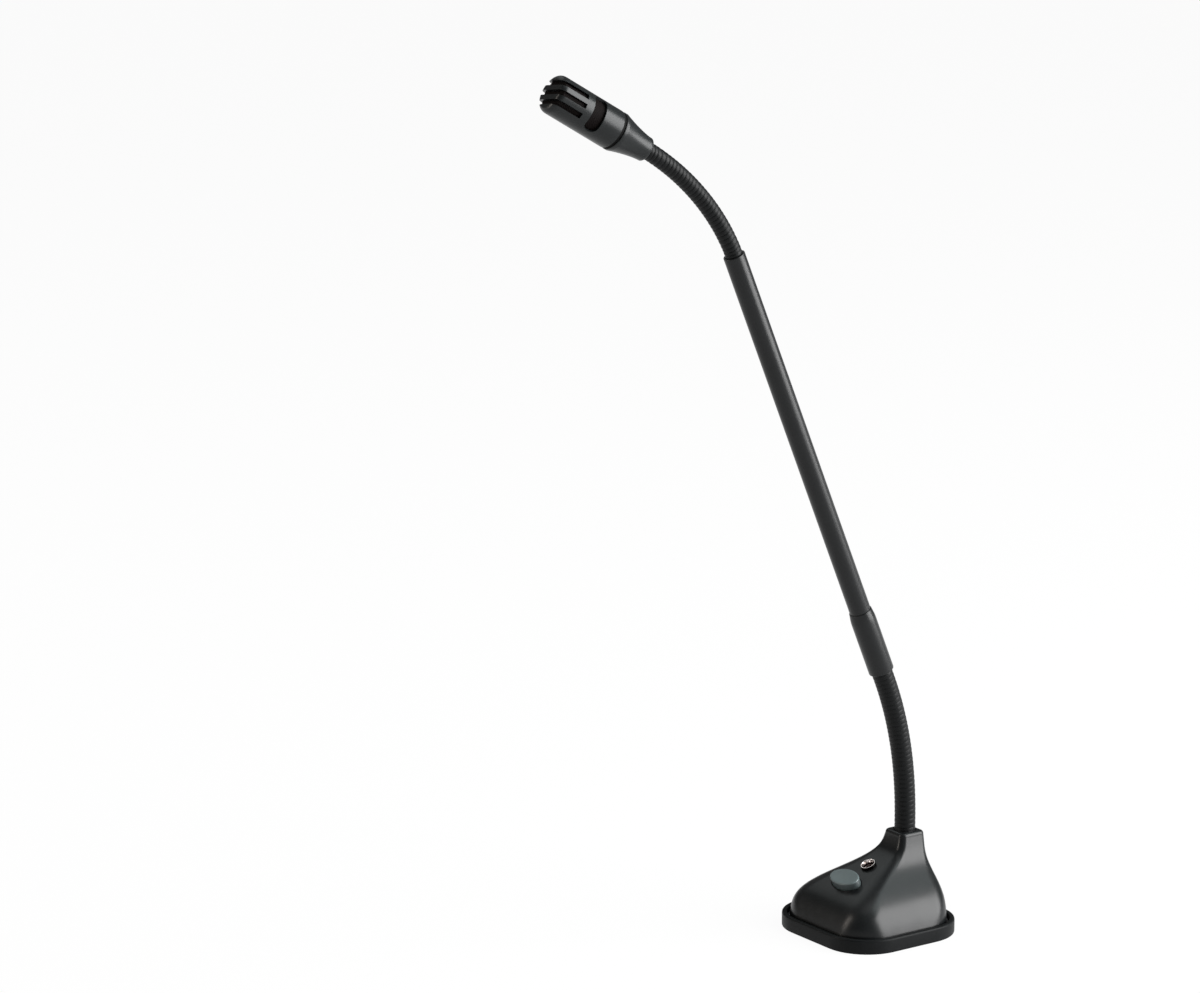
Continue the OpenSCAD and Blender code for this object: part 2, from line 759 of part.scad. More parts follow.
cable_sag = plate_top + 1.5;
cable_lead = 6;
cable_turn = 3;
cable_route = concat(
    [for (k = [0:9])
        bow(k / 10, cable_foot, [cable_foot[0] - cable_turn, 0, cable_sag + 1], [0, 0, cable_sag],
            [0, 0, throat_z - cable_lead])],
    [[0, 0, throat_z - cable_lead]],
    [for (i = [0:hinges]) low_point(i)],
    [stem_foot, stem_head],
    [for (i = [1:hinges]) up_point(i)],
    [head_foot, head_foot + spigot_end * along(head_lean)]
);

module mic_cable() {
    last = len(cable_route) - 1;
    sides = 8;
    color(rubber_black) on_neck() skin([for (k = [0:last])
        let (a = cable_route[max(k - 1, 0)], b = cable_route[min(k + 1, last)])
        let (tangent = (b - a) / norm(b - a), across = [tangent[2], 0, -tangent[0]])
        [for (j = [0:sides - 1])
            cable_route[k] + cable_d / 2 * (cos(360 * j / sides) * across + sin(360 * j / sides) * [0, 1, 0])]]);
}

base_tray();
base_shell();
bottom_plate();
plate_screws();
fixing_inserts();
cable_grommet();
switch_board();
board_screws();
cable_header();
push_switch();
switch_plunger();
talk_button();
indicator_led();
led_bezel();
neck_set_screw();
neck_root_ferrule();
for (i = [0:hinges]) lower_neck(i);
stem_plug();
stem_sleeve();
stem_tube();
stem_bush();
for (i = [0:hinges]) upper_neck(i);
head_ferrule();
tail_cone();
seam_ring();
grille_cap();
mesh_liner();
capsule();
capsule_boot();
capsule_board();
mic_cable();
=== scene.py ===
"""Looks of a gooseneck microphone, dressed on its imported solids.

A foot with a talk button and a lamp carries a thick flexible neck, a straight stem, a thin flexible neck and
a slotted head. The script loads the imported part, works out each visible piece as a surface, paints every
piece and sets the stage.
"""

import math

import bmesh
import bpy
import numpy as np
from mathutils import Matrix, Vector


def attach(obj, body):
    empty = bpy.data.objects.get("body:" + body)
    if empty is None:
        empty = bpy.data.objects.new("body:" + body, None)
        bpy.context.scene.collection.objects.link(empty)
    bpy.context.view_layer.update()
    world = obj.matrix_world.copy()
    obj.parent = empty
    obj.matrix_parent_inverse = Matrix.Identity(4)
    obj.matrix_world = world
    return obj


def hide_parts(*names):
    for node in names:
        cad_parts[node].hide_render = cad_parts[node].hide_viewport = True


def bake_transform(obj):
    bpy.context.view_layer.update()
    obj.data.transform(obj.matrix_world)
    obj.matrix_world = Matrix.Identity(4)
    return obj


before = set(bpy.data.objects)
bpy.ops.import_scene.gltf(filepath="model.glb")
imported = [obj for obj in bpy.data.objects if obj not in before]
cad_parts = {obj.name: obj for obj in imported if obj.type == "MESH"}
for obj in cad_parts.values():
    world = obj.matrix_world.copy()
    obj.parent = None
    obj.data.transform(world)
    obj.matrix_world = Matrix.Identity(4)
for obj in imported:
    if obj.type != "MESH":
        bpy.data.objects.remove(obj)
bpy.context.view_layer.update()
MM = 0.001
QUARTER = math.pi / 2
FULL_TURN = 2 * math.pi

bl_info = {
    "name": "Gooseneck microphone",
    "version": (1, 0, 0),
    "blender": (4, 5, 0),
    "location": "3D View > Sidebar > Microphone",
    "description": "Makes the surfaces and finishes of a gooseneck microphone",
    "category": "Add Mesh",
}


# Settings

def size(label, note, value):
    """A length, given here in millimetres."""
    return bpy.props.FloatProperty(
        name=label, description=note, default=value * MM, unit="LENGTH", precision=5)


def turn(label, note, value):
    """An angle, given here in degrees."""
    return bpy.props.FloatProperty(
        name=label, description=note, default=math.radians(value), unit="ROTATION")


def amount(label, note, value):
    """A plain number."""
    return bpy.props.FloatProperty(name=label, description=note, default=value)


def tint(label, note, *shade):
    """A linear colour."""
    return bpy.props.FloatVectorProperty(
        name=label, description=note, default=shade, subtype="COLOR", min=0, max=1)


class FootSizes(bpy.types.PropertyGroup):
    """Sizes of the tray, the shell, the button and the lamp."""

    tray_width: size("Tray width", "Width of the tray", 68.2)
    tray_depth: size("Tray depth", "Depth of the tray, front to back", 65.6)
    tray_height: size("Rim height", "Height of the tray's rim", 6.6)
    tray_round: size("Corner rounding", "Rounding of the tray's corners", 20.5)
    tray_wall: size("Rim thickness", "Thickness of the rim", 2.4)
    tray_floor: size("Floor thickness", "Thickness of the tray's floor", 2.3)
    rim_gap: size("Rim gap", "Gap between rim and shell", 1.1)
    plate: size("Bottom plate", "Thickness of the bottom plate", 2)
    height: size("Shell height", "Height of the collar's top", 42.4)
    collar: size("Collar width", "Width of the square collar at its top", 13)
    collar_taper: amount("Collar taper", "How much each side of the collar widens for its height", 0.25)
    collar_round: size("Collar corners", "Rounding of the collar's upright corners", 2.6)
    collar_edge: size("Collar edge", "Rounding of the collar's top edge", 1.6)
    corner_fade: amount("Corner fade", "How fast the corners sharpen towards the collar", 1.7)
    side_fall: amount("Side fall", "How long the sides stay upright", 3.4)
    side_sweep: amount("Side sweep", "How hollow the sides sweep up", 6.95)
    front_fall: amount("Front fall", "How long the front stays upright", 3.7)
    front_sweep: amount("Front sweep", "How hollow the front sweeps up", 5.45)
    back_fall: amount("Back fall", "How long the back stays upright", 1)
    back_sweep: amount("Back sweep", "How hollow the back sweeps up", 3.2)
    wall: size("Shell wall", "Thickness of the shell's walls", 2.2)
    roof: size("Shell roof", "Thickness of the shell's roof, straight down", 2)
    throat: size("Throat", "Depth of the block under the collar", 10)
    button_y: size("Button place", "Place of the button, front to back", -12.5)
    button_width: size("Button width", "Width of the oval button", 17.4)
    button_length: size("Button length", "Length of the oval button", 10)
    button_rise: size("Button rise", "How far the button stands out", 3.4)
    button_gap: size("Button gap", "Gap round the button", 0.4)
    button_dish: size("Button dish", "Hollow of the button's top", 0.25)
    button_edge: size("Button edge", "Rounding of the button's top edge", 0.5)
    lamp_step: size("Lamp place", "Distance from button to lamp", 13.6)
    lamp_width: size("Lamp", "Diameter of the lamp", 5)
    ring_width: size("Lamp ring", "Diameter of the bright ring", 7)
    ring_rise: size("Ring rise", "How far the bright ring stands out", 1.4)


class ArmSizes(bpy.types.PropertyGroup):
    """Sizes of the two necks, the stem and the inner cable."""

    neck_y: size("Neck place", "Place of the neck behind the middle of the foot", 20.4)
    neck_yaw: turn("Neck turn", "Turn of the bent neck from straight ahead", 7)
    low_width: size("Lower neck", "Outer diameter of the lower neck", 9.4)
    low_pitch: size("Lower pitch", "Distance from turn to turn of the lower neck", 2.14)
    low_bend: turn("Stem lean", "Lean of the stem from upright", 21.6)
    low_curl: amount("Lower curl", "How the lower neck's bend is shared", 1.15)
    stem_length: size("Stem length", "Distance between the two necks", 208.5)
    tube_width: size("Tube", "Outer diameter of the tube", 9.6)
    tube_wall: size("Tube wall", "Wall of the tube", 0.8)
    sleeve_width: size("Sleeve", "Outer diameter of the coupling sleeve", 11.4)
    sleeve_length: size("Sleeve length", "Length of the coupling sleeve", 31)
    sleeve_taper: size("Sleeve taper", "Length of the sleeve's tapered top", 4)
    up_width: size("Upper neck", "Outer diameter of the upper neck", 7.8)
    up_pitch: size("Upper pitch", "Distance from turn to turn of the upper neck", 2.07)
    up_bend: turn("Head bend", "Further bend from the stem to the head", 36.9)
    up_curl: amount("Upper curl", "How the upper neck's bend is shared", 0.85)
    low_depth: size("Lower grooves", "Depth of the grooves between turns of the lower neck", 0.12)
    up_depth: size("Upper grooves", "Depth of the grooves between turns of the upper neck", 0.2)
    wire_fill: amount("Winding fill", "Share of each turn that its wire fills", 0.9)
    cable_width: size("Inner cable", "Diameter of the inner cable", 2.2)


class HeadSizes(bpy.types.PropertyGroup):
    """Sizes of the head."""

    length: size("Head length", "Length of the head", 53)
    width: size("Head width", "Diameter of the barrel", 17.5)
    cone: size("Cone length", "Length of the tail cone", 18.4)
    cone_end: size("Cone end", "Diameter of the cone's small end", 10.8)
    land: size("Cone land", "Straight end of the cone behind the seam", 1.4)
    flare: amount("Cone flare", "How hollow the cone is", 1.5)
    seam: size("Seam width", "Width of the seam", 1.4)
    spigot: size("Spigot", "Length of the cone's spigot in the barrel", 6)
    wall: size("Barrel wall", "Wall of the barrel", 1.1)
    front: size("Barrel front", "Thickness of the barrel's front", 2)
    edge: size("Front edge", "Rounding of the barrel's front edge", 2.5)
    slot_length: size("Slot length", "Length of the slots down the side", 13.8)
    slot_width: size("Slot width", "Width of a slot", 2.2)
    slot_pitch: size("Slot pitch", "Distance from slot to slot", 4.4)
    ring: size("Ring", "Solid ring between slots and windows", 3.7)
    window: size("Window length", "Length of the side windows", 6.4)
    window_angle: turn("Window angle", "Angle that each window spans", 120)
    roll: turn("Head turn", "Turn of the slots about the head's axis", 100)
    mesh: size("Mesh", "Thickness of the mesh", 0.3)


class Finishes(bpy.types.PropertyGroup):
    """Colours of the visible pieces."""

    shell: tint("Shell", "Satin black of the shell", 0.0064, 0.0074, 0.0079)
    tray: tint("Tray", "Black of the tray", 0.0055, 0.0062, 0.0066)
    neck: tint("Necks", "Semi-gloss black of the necks", 0.0028, 0.0033, 0.0036)
    stem: tint("Stem", "Satin black of the stem", 0.0065, 0.0072, 0.0078)
    head: tint("Head", "Dark grey metal of the head", 0.0105, 0.0120, 0.0126)
    button: tint("Button", "Grey-teal of the button", 0.100, 0.130, 0.134)
    ring: tint("Lamp ring", "Bright metal round the lamp", 0.78, 0.72, 0.70)
    lens: tint("Lamp", "Dark tinted lens", 0.020, 0.008, 0.008)
    mesh: tint("Mesh", "Red-brown of the mesh", 0.0045, 0.0028, 0.0027)
    floor: tint("Floor", "Pale floor", 0.86, 0.86, 0.86)


GROUPS = (
    ("foot_sizes", FootSizes),
    ("arm_sizes", ArmSizes),
    ("head_sizes", HeadSizes),
    ("finishes", Finishes),
)


def settings(name):
    """One group of settings of the scene."""
    return getattr(bpy.context.scene, name)


# Shader maths

class Value:
    """A number that changes over a surface. Arithmetic on it adds Math nodes."""

    def __init__(self, paint, socket):
        self.paint = paint
        self.socket = socket

    def join(self, operation, first, second=0.0, clamp=False):
        """One Math node on two numbers."""
        options = {"operation": operation, "use_clamp": clamp}
        made = self.paint.node("ShaderNodeMath", options, {0: first, 1: second})
        return Value(self.paint, made.outputs[0])

    def __add__(self, other):
        return self.join("ADD", self, other)

    def __radd__(self, other):
        return self.join("ADD", other, self)

    def __sub__(self, other):
        return self.join("SUBTRACT", self, other)

    def __rsub__(self, other):
        return self.join("SUBTRACT", other, self)

    def __mul__(self, other):
        return self.join("MULTIPLY", self, other)

    def __rmul__(self, other):
        return self.join("MULTIPLY", other, self)

    def sine(self):
        """Sine of an angle in radians."""
        return self.join("SINE", self)

    def root(self):
        """Square root."""
        return self.join("SQRT", self)

    def above(self, edge, width):
        """Rises from 0 to 1 over a width centred on an edge."""
        return self.join("MULTIPLY", self - (edge - width / 2), 1 / width, clamp=True)

    def swing(self, reach):
        """Goes from half of reach below zero to half of it above, as this number goes from 0 to 1."""
        return (self - 0.5) * reach


class Paint:
    """The node tree of one finish."""

    def __init__(self, name):
        self.material = bpy.data.materials.new(f"look_{name}")
        self.material.use_nodes = True
        self.tree = self.material.node_tree
        self.tree.nodes.clear()

    def node(self, kind, options=None, inputs=None):
        """A node of a kind, with its options set first and then the values or links of its sockets."""
        made = self.tree.nodes.new(kind)
        for option, choice in (options or {}).items():
            setattr(made, option, choice)
        for key, given in (inputs or {}).items():
            source = given.socket if isinstance(given, Value) else given
            if isinstance(source, bpy.types.NodeSocket):
                self.tree.links.new(source, made.inputs[key])
            else:
                made.inputs[key].default_value = given
        return made

    def place(self):
        """Object coordinates, in metres."""
        return self.node("ShaderNodeTexCoord").outputs["Object"]

    def stretched(self, scale, turn_by=(0, 0, 0)):
        """Object coordinates, stretched along their axes and then turned."""
        moved = {"Vector": self.place(), "Rotation": turn_by, "Scale": scale}
        return self.node("ShaderNodeMapping", None, moved).outputs[0]

    def noise(self, scale, detail=2.0, at=None, roughness=0.5):
        """Cloudy number about 0.5, with features about 1 / scale metres wide."""
        spot = self.place() if at is None else at
        sockets = {"Vector": spot, "Scale": scale, "Detail": detail, "Roughness": roughness}
        return Value(self, self.node("ShaderNodeTexNoise", None, sockets).outputs["Fac"])

    def along(self, spot, axis):
        """Distance from a place's origin along one of its axes, in metres."""
        way = spot.matrix[:, axis]
        sockets = {0: self.place(), 1: tuple(way)}
        made = self.node("ShaderNodeVectorMath", {"operation": "DOT_PRODUCT"}, sockets)
        return Value(self, made.outputs["Value"]) - float(spot.origin @ way)

    def mix(self, first, second, share):
        """Colour from first to second."""
        sockets = {0: share, 6: opaque(first), 7: opaque(second)}
        return self.node("ShaderNodeMix", {"data_type": "RGBA"}, sockets).outputs[2]

    def between(self, shade, dark, light, share):
        """Colour from a darker form of a shade to a lighter one."""
        return self.mix(scaled(shade, dark), scaled(shade, light), share)

    def bump(self, height, strength, depth):
        """Normal of a surface raised by a height between 0 and 1, depth metres deep."""
        sockets = {"Height": height, "Strength": strength, "Distance": depth}
        return self.node("ShaderNodeBump", None, sockets).outputs[0]

    def show(self, **sockets):
        """Principled surface with these sockets, underscores standing for spaces."""
        named = {key.replace("_", " "): given for key, given in sockets.items()}
        surface = self.node("ShaderNodeBsdfPrincipled", None, named)
        return self.put_out(surface)

    def put_out(self, shader):
        """The finished material, with this shader as its surface."""
        self.node("ShaderNodeOutputMaterial", None, {0: shader.outputs[0]})
        return self.material


def opaque(shade):
    """A colour with full alpha, or the socket as it is."""
    return shade if isinstance(shade, bpy.types.NodeSocket) else (*shade, 1.0)


def scaled(shade, factor):
    """A colour made darker or lighter."""
    return tuple(min(channel * factor, 1.0) for channel in shade)


# Finishes

def shell_satin():
    """Sprayed satin black: fine orange-peel grain, cloudy gloss and thin dust in broad patches."""
    shade = settings("finishes").shell
    paint = Paint("shell_satin")
    peel = paint.noise(scale=2600.0, detail=3.0)
    cloud = paint.noise(scale=45.0, detail=3.0)
    dust = paint.noise(scale=160.0, detail=5.0, roughness=0.65).above(edge=0.60, width=0.25)
    base = paint.between(shade, 0.82, 1.2, cloud)
    base = paint.mix(base, scaled(shade, 1.9), dust * 0.25)
    gloss = 0.30 + cloud.swing(0.12) + dust * 0.05
    raised = paint.bump(peel, strength=0.10, depth=0.10 * MM)
    return paint.show(Base_Color=base, Roughness=gloss, Specular_IOR_Level=0.27, Normal=raised)


def tray_rubber():
    """Moulded black rubber with a fine matt grain and pale scuffs."""
    shade = settings("finishes").tray
    paint = Paint("tray_rubber")
    grain = paint.noise(scale=3400.0)
    cloud = paint.noise(scale=60.0, detail=3.0)
    scuff = paint.noise(scale=420.0, detail=6.0, roughness=0.7).above(edge=0.64, width=0.16)
    base = paint.between(shade, 0.8, 1.35, cloud)
    base = paint.mix(base, scaled(shade, 3.0), scuff * 0.25)
    gloss = 0.46 + cloud.swing(0.12) + scuff * 0.12
    raised = paint.bump(grain, strength=0.20, depth=0.12 * MM)
    return paint.show(Base_Color=base, Roughness=gloss, Specular_IOR_Level=0.1, Normal=raised)


def neck_wire():
    """Black-plated wound wire with a cloudy gloss and a fine uneven grain."""
    shade = settings("finishes").neck
    paint = Paint("neck_wire")
    cloud = paint.noise(scale=110.0, detail=4.0)
    grain = paint.noise(scale=900.0, detail=3.0)
    base = paint.between(shade, 0.75, 1.45, cloud)
    gloss = 0.46 + cloud.swing(0.16) + grain.swing(0.06)
    raised = paint.bump(grain, strength=0.08, depth=0.08 * MM)
    return paint.show(Base_Color=base, Roughness=gloss, Specular_IOR_Level=0.17, Normal=raised)


def stem_satin():
    """Satin black paint over a drawn tube: faint marks, far longer upwards than they are wide."""
    shade = settings("finishes").stem
    arm = settings("arm_sizes")
    paint = Paint("stem_satin")
    upright = paint.stretched((1400.0, 1400.0, 30.0), turn_by=(-arm.low_bend, 0.0, 0.0))
    drawn = paint.noise(scale=1.0, detail=3.0, at=upright)
    cloud = paint.noise(scale=40.0, detail=3.0)
    base = paint.between(shade, 0.82, 1.25, cloud)
    gloss = 0.33 + drawn.swing(0.10) + cloud.swing(0.08)
    raised = paint.bump(drawn, strength=0.06, depth=0.06 * MM)
    return paint.show(Base_Color=base, Roughness=gloss, Specular_IOR_Level=0.28, Normal=raised)


def head_metal():
    """Dark anodised metal: bead-blasted grain and cloudy sheen."""
    shade = settings("finishes").head
    paint = Paint("head_metal")
    grain = paint.noise(scale=4200.0)
    cloud = paint.noise(scale=120.0, detail=3.0)
    base = paint.between(shade, 0.8, 1.25, cloud)
    gloss = 0.30 + cloud.swing(0.10) + grain.swing(0.06)
    raised = paint.bump(grain, strength=0.12, depth=0.08 * MM)
    return paint.show(Base_Color=base, Roughness=gloss, Metallic=0.1, Specular_IOR_Level=0.26, Normal=raised)


def button_plastic():
    """Satin moulded plastic with a fine spark-eroded grain, and the side below the crown painted darker as
    shade.
    """
    shade = settings("finishes").button
    foot = settings("foot_sizes")
    paint = Paint("button_plastic")
    grain = paint.noise(scale=3000.0)
    cloud = paint.noise(scale=220.0, detail=3.0)
    # Painted shade: the side below the crown takes a darker colour than the top.
    crown = paint.along(Layout().deck, 2).above(edge=foot.button_rise - foot.button_edge, width=0.4 * MM)
    base = paint.between(shade, 0.85, 1.15, cloud)
    base = paint.mix(scaled(shade, 0.4), base, crown)
    raised = paint.bump(grain, strength=0.15, depth=0.08 * MM)
    return paint.show(Base_Color=base, Roughness=0.42 + cloud.swing(0.14), Normal=raised)


def ring_metal():
    """Bright turned metal, with its outer wall painted near-black as shade."""
    shade = settings("finishes").ring
    lamp = Layout().lamp
    paint = Paint("ring_metal")
    across, aside = paint.along(lamp, 0), paint.along(lamp, 1)
    radius = (across * across + aside * aside).root()
    wall = settings("foot_sizes").ring_width / 2 - 0.15 * MM
    cloud = paint.noise(scale=900.0, detail=3.0)
    base = paint.between(shade, 0.85, 1.0, cloud)
    # Painted shade: beyond this radius the outer wall is painted near-black.
    base = paint.mix(base, scaled(shade, 0.03), radius.above(edge=wall, width=0.1 * MM))
    return paint.show(Base_Color=base, Metallic=1.0, Roughness=0.22 + cloud.swing(0.12))


def lamp_lens():
    """Dark smoked plastic."""
    shade = settings("finishes").lens
    paint = Paint("lamp_lens")
    smoke = paint.noise(scale=500.0)
    base = paint.between(shade, 0.5, 1.5, smoke)
    return paint.show(Base_Color=base, Roughness=0.24 + smoke.swing(0.06), Specular_IOR_Level=0.16)


def head_mesh():
    """Woven wire behind the slots: two sets of crossed threads, with painted shade in the gaps between them.
    """
    shade = settings("finishes").mesh
    head = Layout().head
    paint = Paint("head_mesh")
    across, aside, along = [paint.along(head, axis) for axis in range(3)]
    spacing, slant = 0.9 * MM, 0.72
    count = FULL_TURN / spacing
    weft = ((across + aside) * (count * slant)).sine()
    warp = ((along + (across - aside) * slant) * count).sine()
    thread = (weft * warp) * 0.5 + 0.5
    # Painted shade: the gaps between the threads are painted darker than the threads.
    base = paint.between(shade, 0.25, 1.6, thread)
    raised = paint.bump(thread, strength=0.5, depth=0.15 * MM)
    return paint.show(Base_Color=base, Roughness=0.7, Specular_IOR_Level=0.06, Normal=raised)


def board_green():
    """Solder resist over copper tracks, which show as paler lines."""
    resist, copper = (0.010, 0.060, 0.028), (0.030, 0.120, 0.055)
    paint = Paint("board_green")
    wave = (paint.along(GROUND, 0) * 900.0).sine()
    tracks = (wave * 0.5 + 0.5).above(edge=0.82, width=0.1)
    blotch = paint.noise(scale=400.0).above(edge=0.5, width=0.1)
    base = paint.mix(resist, copper, tracks * blotch)
    raised = paint.bump(tracks * blotch, strength=0.2, depth=0.06 * MM)
    return paint.show(Base_Color=base, Roughness=0.35 + tracks * 0.08, Normal=raised)


def machined(name, shade, rough, scale):
    """Machined metal with fine scratches one way."""
    paint = Paint(name)
    scratch = paint.noise(scale=1.0, detail=4.0, at=paint.stretched((scale, scale * 0.04, scale)))
    cloud = paint.noise(scale=150.0, detail=3.0)
    base = paint.between(shade, 0.8, 1.1, cloud)
    raised = paint.bump(scratch, strength=0.08, depth=0.05 * MM)
    return paint.show(Base_Color=base, Metallic=1.0, Roughness=rough + scratch.swing(0.2), Normal=raised)


def moulded(name, shade, rough, shine=0.5):
    """Moulded plastic or rubber with a fine grain."""
    paint = Paint(name)
    grain = paint.noise(scale=2500.0)
    cloud = paint.noise(scale=130.0, detail=3.0)
    base = paint.between(shade, 0.85, 1.15, cloud)
    gloss = rough + cloud.swing(0.12)
    raised = paint.bump(grain, strength=0.12, depth=0.08 * MM)
    return paint.show(Base_Color=base, Roughness=gloss, Specular_IOR_Level=shine, Normal=raised)


OWN_FINISHES = {
    "shell_satin": shell_satin,
    "tray_rubber": tray_rubber,
    "neck_wire": neck_wire,
    "stem_satin": stem_satin,
    "head_metal": head_metal,
    "button_plastic": button_plastic,
    "ring_metal": ring_metal,
    "lamp_lens": lamp_lens,
    "head_mesh": head_mesh,
    "board_green": board_green,
}

# Colour, roughness and scratches to the metre of each plain metal
METALS = {
    # The zinc is darker than plain zinc, as painted shade for the plate's edge seen in the gap round the
    # shell.
    "plate_zinc": ((0.20, 0.205, 0.215), 0.50, 900.0),
    "screw_steel": ((0.46, 0.46, 0.47), 0.30, 2500.0),
    "turned_brass": ((0.62, 0.46, 0.20), 0.28, 2500.0),
    "plated_black": ((0.020, 0.021, 0.022), 0.38, 2500.0),
    "capsule_tin": ((0.62, 0.63, 0.64), 0.25, 1800.0),
}

# Colour and roughness of each plain moulding, and its shine where that isn't the usual one
MOULDINGS = {
    "soft_rubber": ((0.012, 0.012, 0.013), 0.62),
    "seam_rubber": ((0.004, 0.004, 0.004), 0.70, 0.1),
    "cable_jacket": ((0.014, 0.014, 0.015), 0.50),
    "header_ivory": ((0.66, 0.62, 0.50), 0.45),
    "switch_grey": ((0.035, 0.036, 0.038), 0.40),
    "plunger_white": ((0.70, 0.70, 0.68), 0.42),
}


def finish(name):
    """A finish by name, made the first time that it is asked for."""
    made = bpy.data.materials.get(f"look_{name}")
    if made:
        return made
    if name in METALS:
        return machined(name, *METALS[name])
    if name in MOULDINGS:
        return moulded(name, *MOULDINGS[name])
    return OWN_FINISHES[name]()


# Places

class Place:
    """An origin and three axes, as the columns of a matrix."""

    def __init__(self, origin, matrix):
        self.origin = np.asarray(origin, float)
        self.matrix = np.asarray(matrix, float)

    def put(self, points):
        """Points given in this place, in the part's frame."""
        return np.asarray(points, float) @ self.matrix.T + self.origin

    def step(self, offset, matrix=None):
        """A place set inside this one."""
        return Place(self.put(offset), self.matrix if matrix is None else self.matrix @ matrix)


GROUND = Place((0, 0, 0), np.eye(3))


def spin(axis, angle):
    """Right-handed turn about axis 0, 1 or 2."""
    matrix = np.eye(3)
    first, second = (axis + 1) % 3, (axis + 2) % 3
    matrix[first, first] = matrix[second, second] = math.cos(angle)
    matrix[second, first] = math.sin(angle)
    matrix[first, second] = -math.sin(angle)
    return matrix


class Layout:
    """Places of the deck, the necks, the stem and the head, worked out from the settings.

    Each neck is a chain of straight lengths, one more than it has hinges. A length has LINK turns of the
    winding, and the first and last lengths of the upper neck have half as many.
    """

    HINGES = 8
    LINK = 4
    FINE_ROWS = 20001

    def __init__(self):
        foot = settings("foot_sizes")
        arm = settings("arm_sizes")
        self.plate_top = foot.tray_floor + foot.plate
        self.inset = foot.tray_wall + foot.rim_gap
        self.foot_x = foot.tray_width / 2 - self.inset
        self.foot_y = foot.tray_depth / 2 - self.inset
        self.front = arm.neck_y - foot.collar / 2
        self.set_deck(foot)
        self.set_arm(foot, arm)

    def set_deck(self, foot):
        """The button's place, tilted like the shell's front line, and the lamp's place up that slope."""
        low = self.deck_height(foot.button_y - MM / 2)
        high = self.deck_height(foot.button_y + MM / 2)
        level = self.deck_height(foot.button_y)
        self.tilt = math.atan((high - low) / MM)
        self.deck = Place((0, foot.button_y, level), spin(0, self.tilt))
        self.lamp = self.deck.step((0, foot.lamp_step, 0))
        climb = self.deck_height(foot.button_y + foot.lamp_step * math.cos(self.tilt)) - level
        self.lamp_seat = (climb - foot.lamp_step * math.sin(self.tilt)) * math.cos(self.tilt)

    def set_arm(self, foot, arm):
        """The points of both necks and the places of stem and head, in the plane that the arm bends in."""
        self.neck = Place((0, arm.neck_y, 0), spin(2, -QUARTER - arm.neck_yaw))
        self.aside = self.neck.matrix[:, 1]
        self.low_turns = np.full(self.HINGES + 1, self.LINK)
        self.up_turns = self.low_turns.copy()
        self.up_turns[[0, -1]] //= 2
        share = np.arange(self.HINGES + 1) / self.HINGES
        leans = arm.low_bend * share ** arm.low_curl
        lower = self.chain((0, 0, foot.height), leans, self.low_turns * arm.low_pitch)
        along = np.array((math.sin(arm.low_bend), 0, math.cos(arm.low_bend)))
        leans = arm.low_bend + arm.up_bend * share ** arm.up_curl
        upper = self.chain(lower[-1] + arm.stem_length * along, leans, self.up_turns * arm.up_pitch)
        self.lower = self.neck.put(lower)
        self.upper = self.neck.put(upper)
        self.stem = self.neck.step(lower[-1], spin(1, arm.low_bend))
        self.head = self.neck.step(upper[-1], spin(1, arm.low_bend + arm.up_bend))

    def front_line(self, z):
        """Place of the shell's front at a height: the collar's straight lean plus the front's sweep."""
        foot = settings("foot_sizes")
        tall = foot.height - self.plate_top
        t = np.clip((z - self.plate_top) / tall, 0, 1)
        lean = foot.collar_taper * tall * (1 - t)
        reach = self.front - foot.collar_taper * tall + self.foot_y
        return self.front - lean - reach * (1 - t ** foot.front_fall) ** foot.front_sweep

    def deck_height(self, y):
        """Height of the shell's front line over y, read off a fine table of that line."""
        z = np.linspace(self.plate_top, settings("foot_sizes").height, self.FINE_ROWS)
        return float(np.interp(y, self.front_line(z), z))

    @staticmethod
    def chain(start, leans, lengths):
        """Points where straight lengths meet, each leaning by its angle from upright."""
        steps = np.stack([np.sin(leans), 0 * leans, np.cos(leans)], -1) * lengths[:, None]
        return np.concatenate([[start], start + np.cumsum(steps, 0)])


# Surfaces

def grid_faces(rows, columns, closed=False, round_up=True):
    """Four-sided faces of a grid of points, counted row by row.

    With closed the last row is joined to the first one, and with round_up the last column to the first one.
    """
    row = np.arange(rows if closed else rows - 1)[:, None]
    column = np.arange(columns if round_up else columns - 1)[None, :]
    below, above, after = row * columns, (row + 1) % rows * columns, (column + 1) % columns
    return np.stack([below + column, below + after, above + after, above + column], -1).reshape(-1, 4)


def capped_faces(rows, columns):
    """Faces of a grid whose rows are rings, with one flat face on the first ring and one on the last."""
    ring = np.arange(columns)
    return [*grid_faces(rows, columns).tolist(), ring[::-1].tolist(), (ring + (rows - 1) * columns).tolist()]


def soften(corners, radii, steps=6):
    """Closed outline with rounded corners.

    Each corner becomes a quadratic curve that is drawn to it, and starts and ends a radius away from it.
    """
    corners = np.asarray(corners, float)
    reach = np.broadcast_to(np.asarray(radii, float), len(corners))[:, None]
    back = np.roll(corners, 1, 0) - corners
    ahead = np.roll(corners, -1, 0) - corners
    start = corners + back / np.linalg.norm(back, axis=1, keepdims=True) * reach
    end = corners + ahead / np.linalg.norm(ahead, axis=1, keepdims=True) * reach
    t = np.linspace(0, 1, steps)[None, :, None]
    curve = (1 - t) ** 2 * start[:, None] + 2 * t * (1 - t) * corners[:, None] + t ** 2 * end[:, None]
    return curve.reshape(-1, 2)


def circle_angles(count):
    """Even angles once round, the first of them not repeated."""
    return np.linspace(0, FULL_TURN, count, endpoint=False)


def lathe(profile, place, steps):
    """A closed profile of radius and height, turned once round the place's third axis."""
    profile = np.asarray(profile, float)
    angle = circle_angles(steps)
    radius, height = profile[:, :1], profile[:, 1:]
    points = np.stack([radius * np.cos(angle), radius * np.sin(angle), height + 0 * angle], -1)
    return place.put(points), grid_faces(len(profile), steps, closed=True)


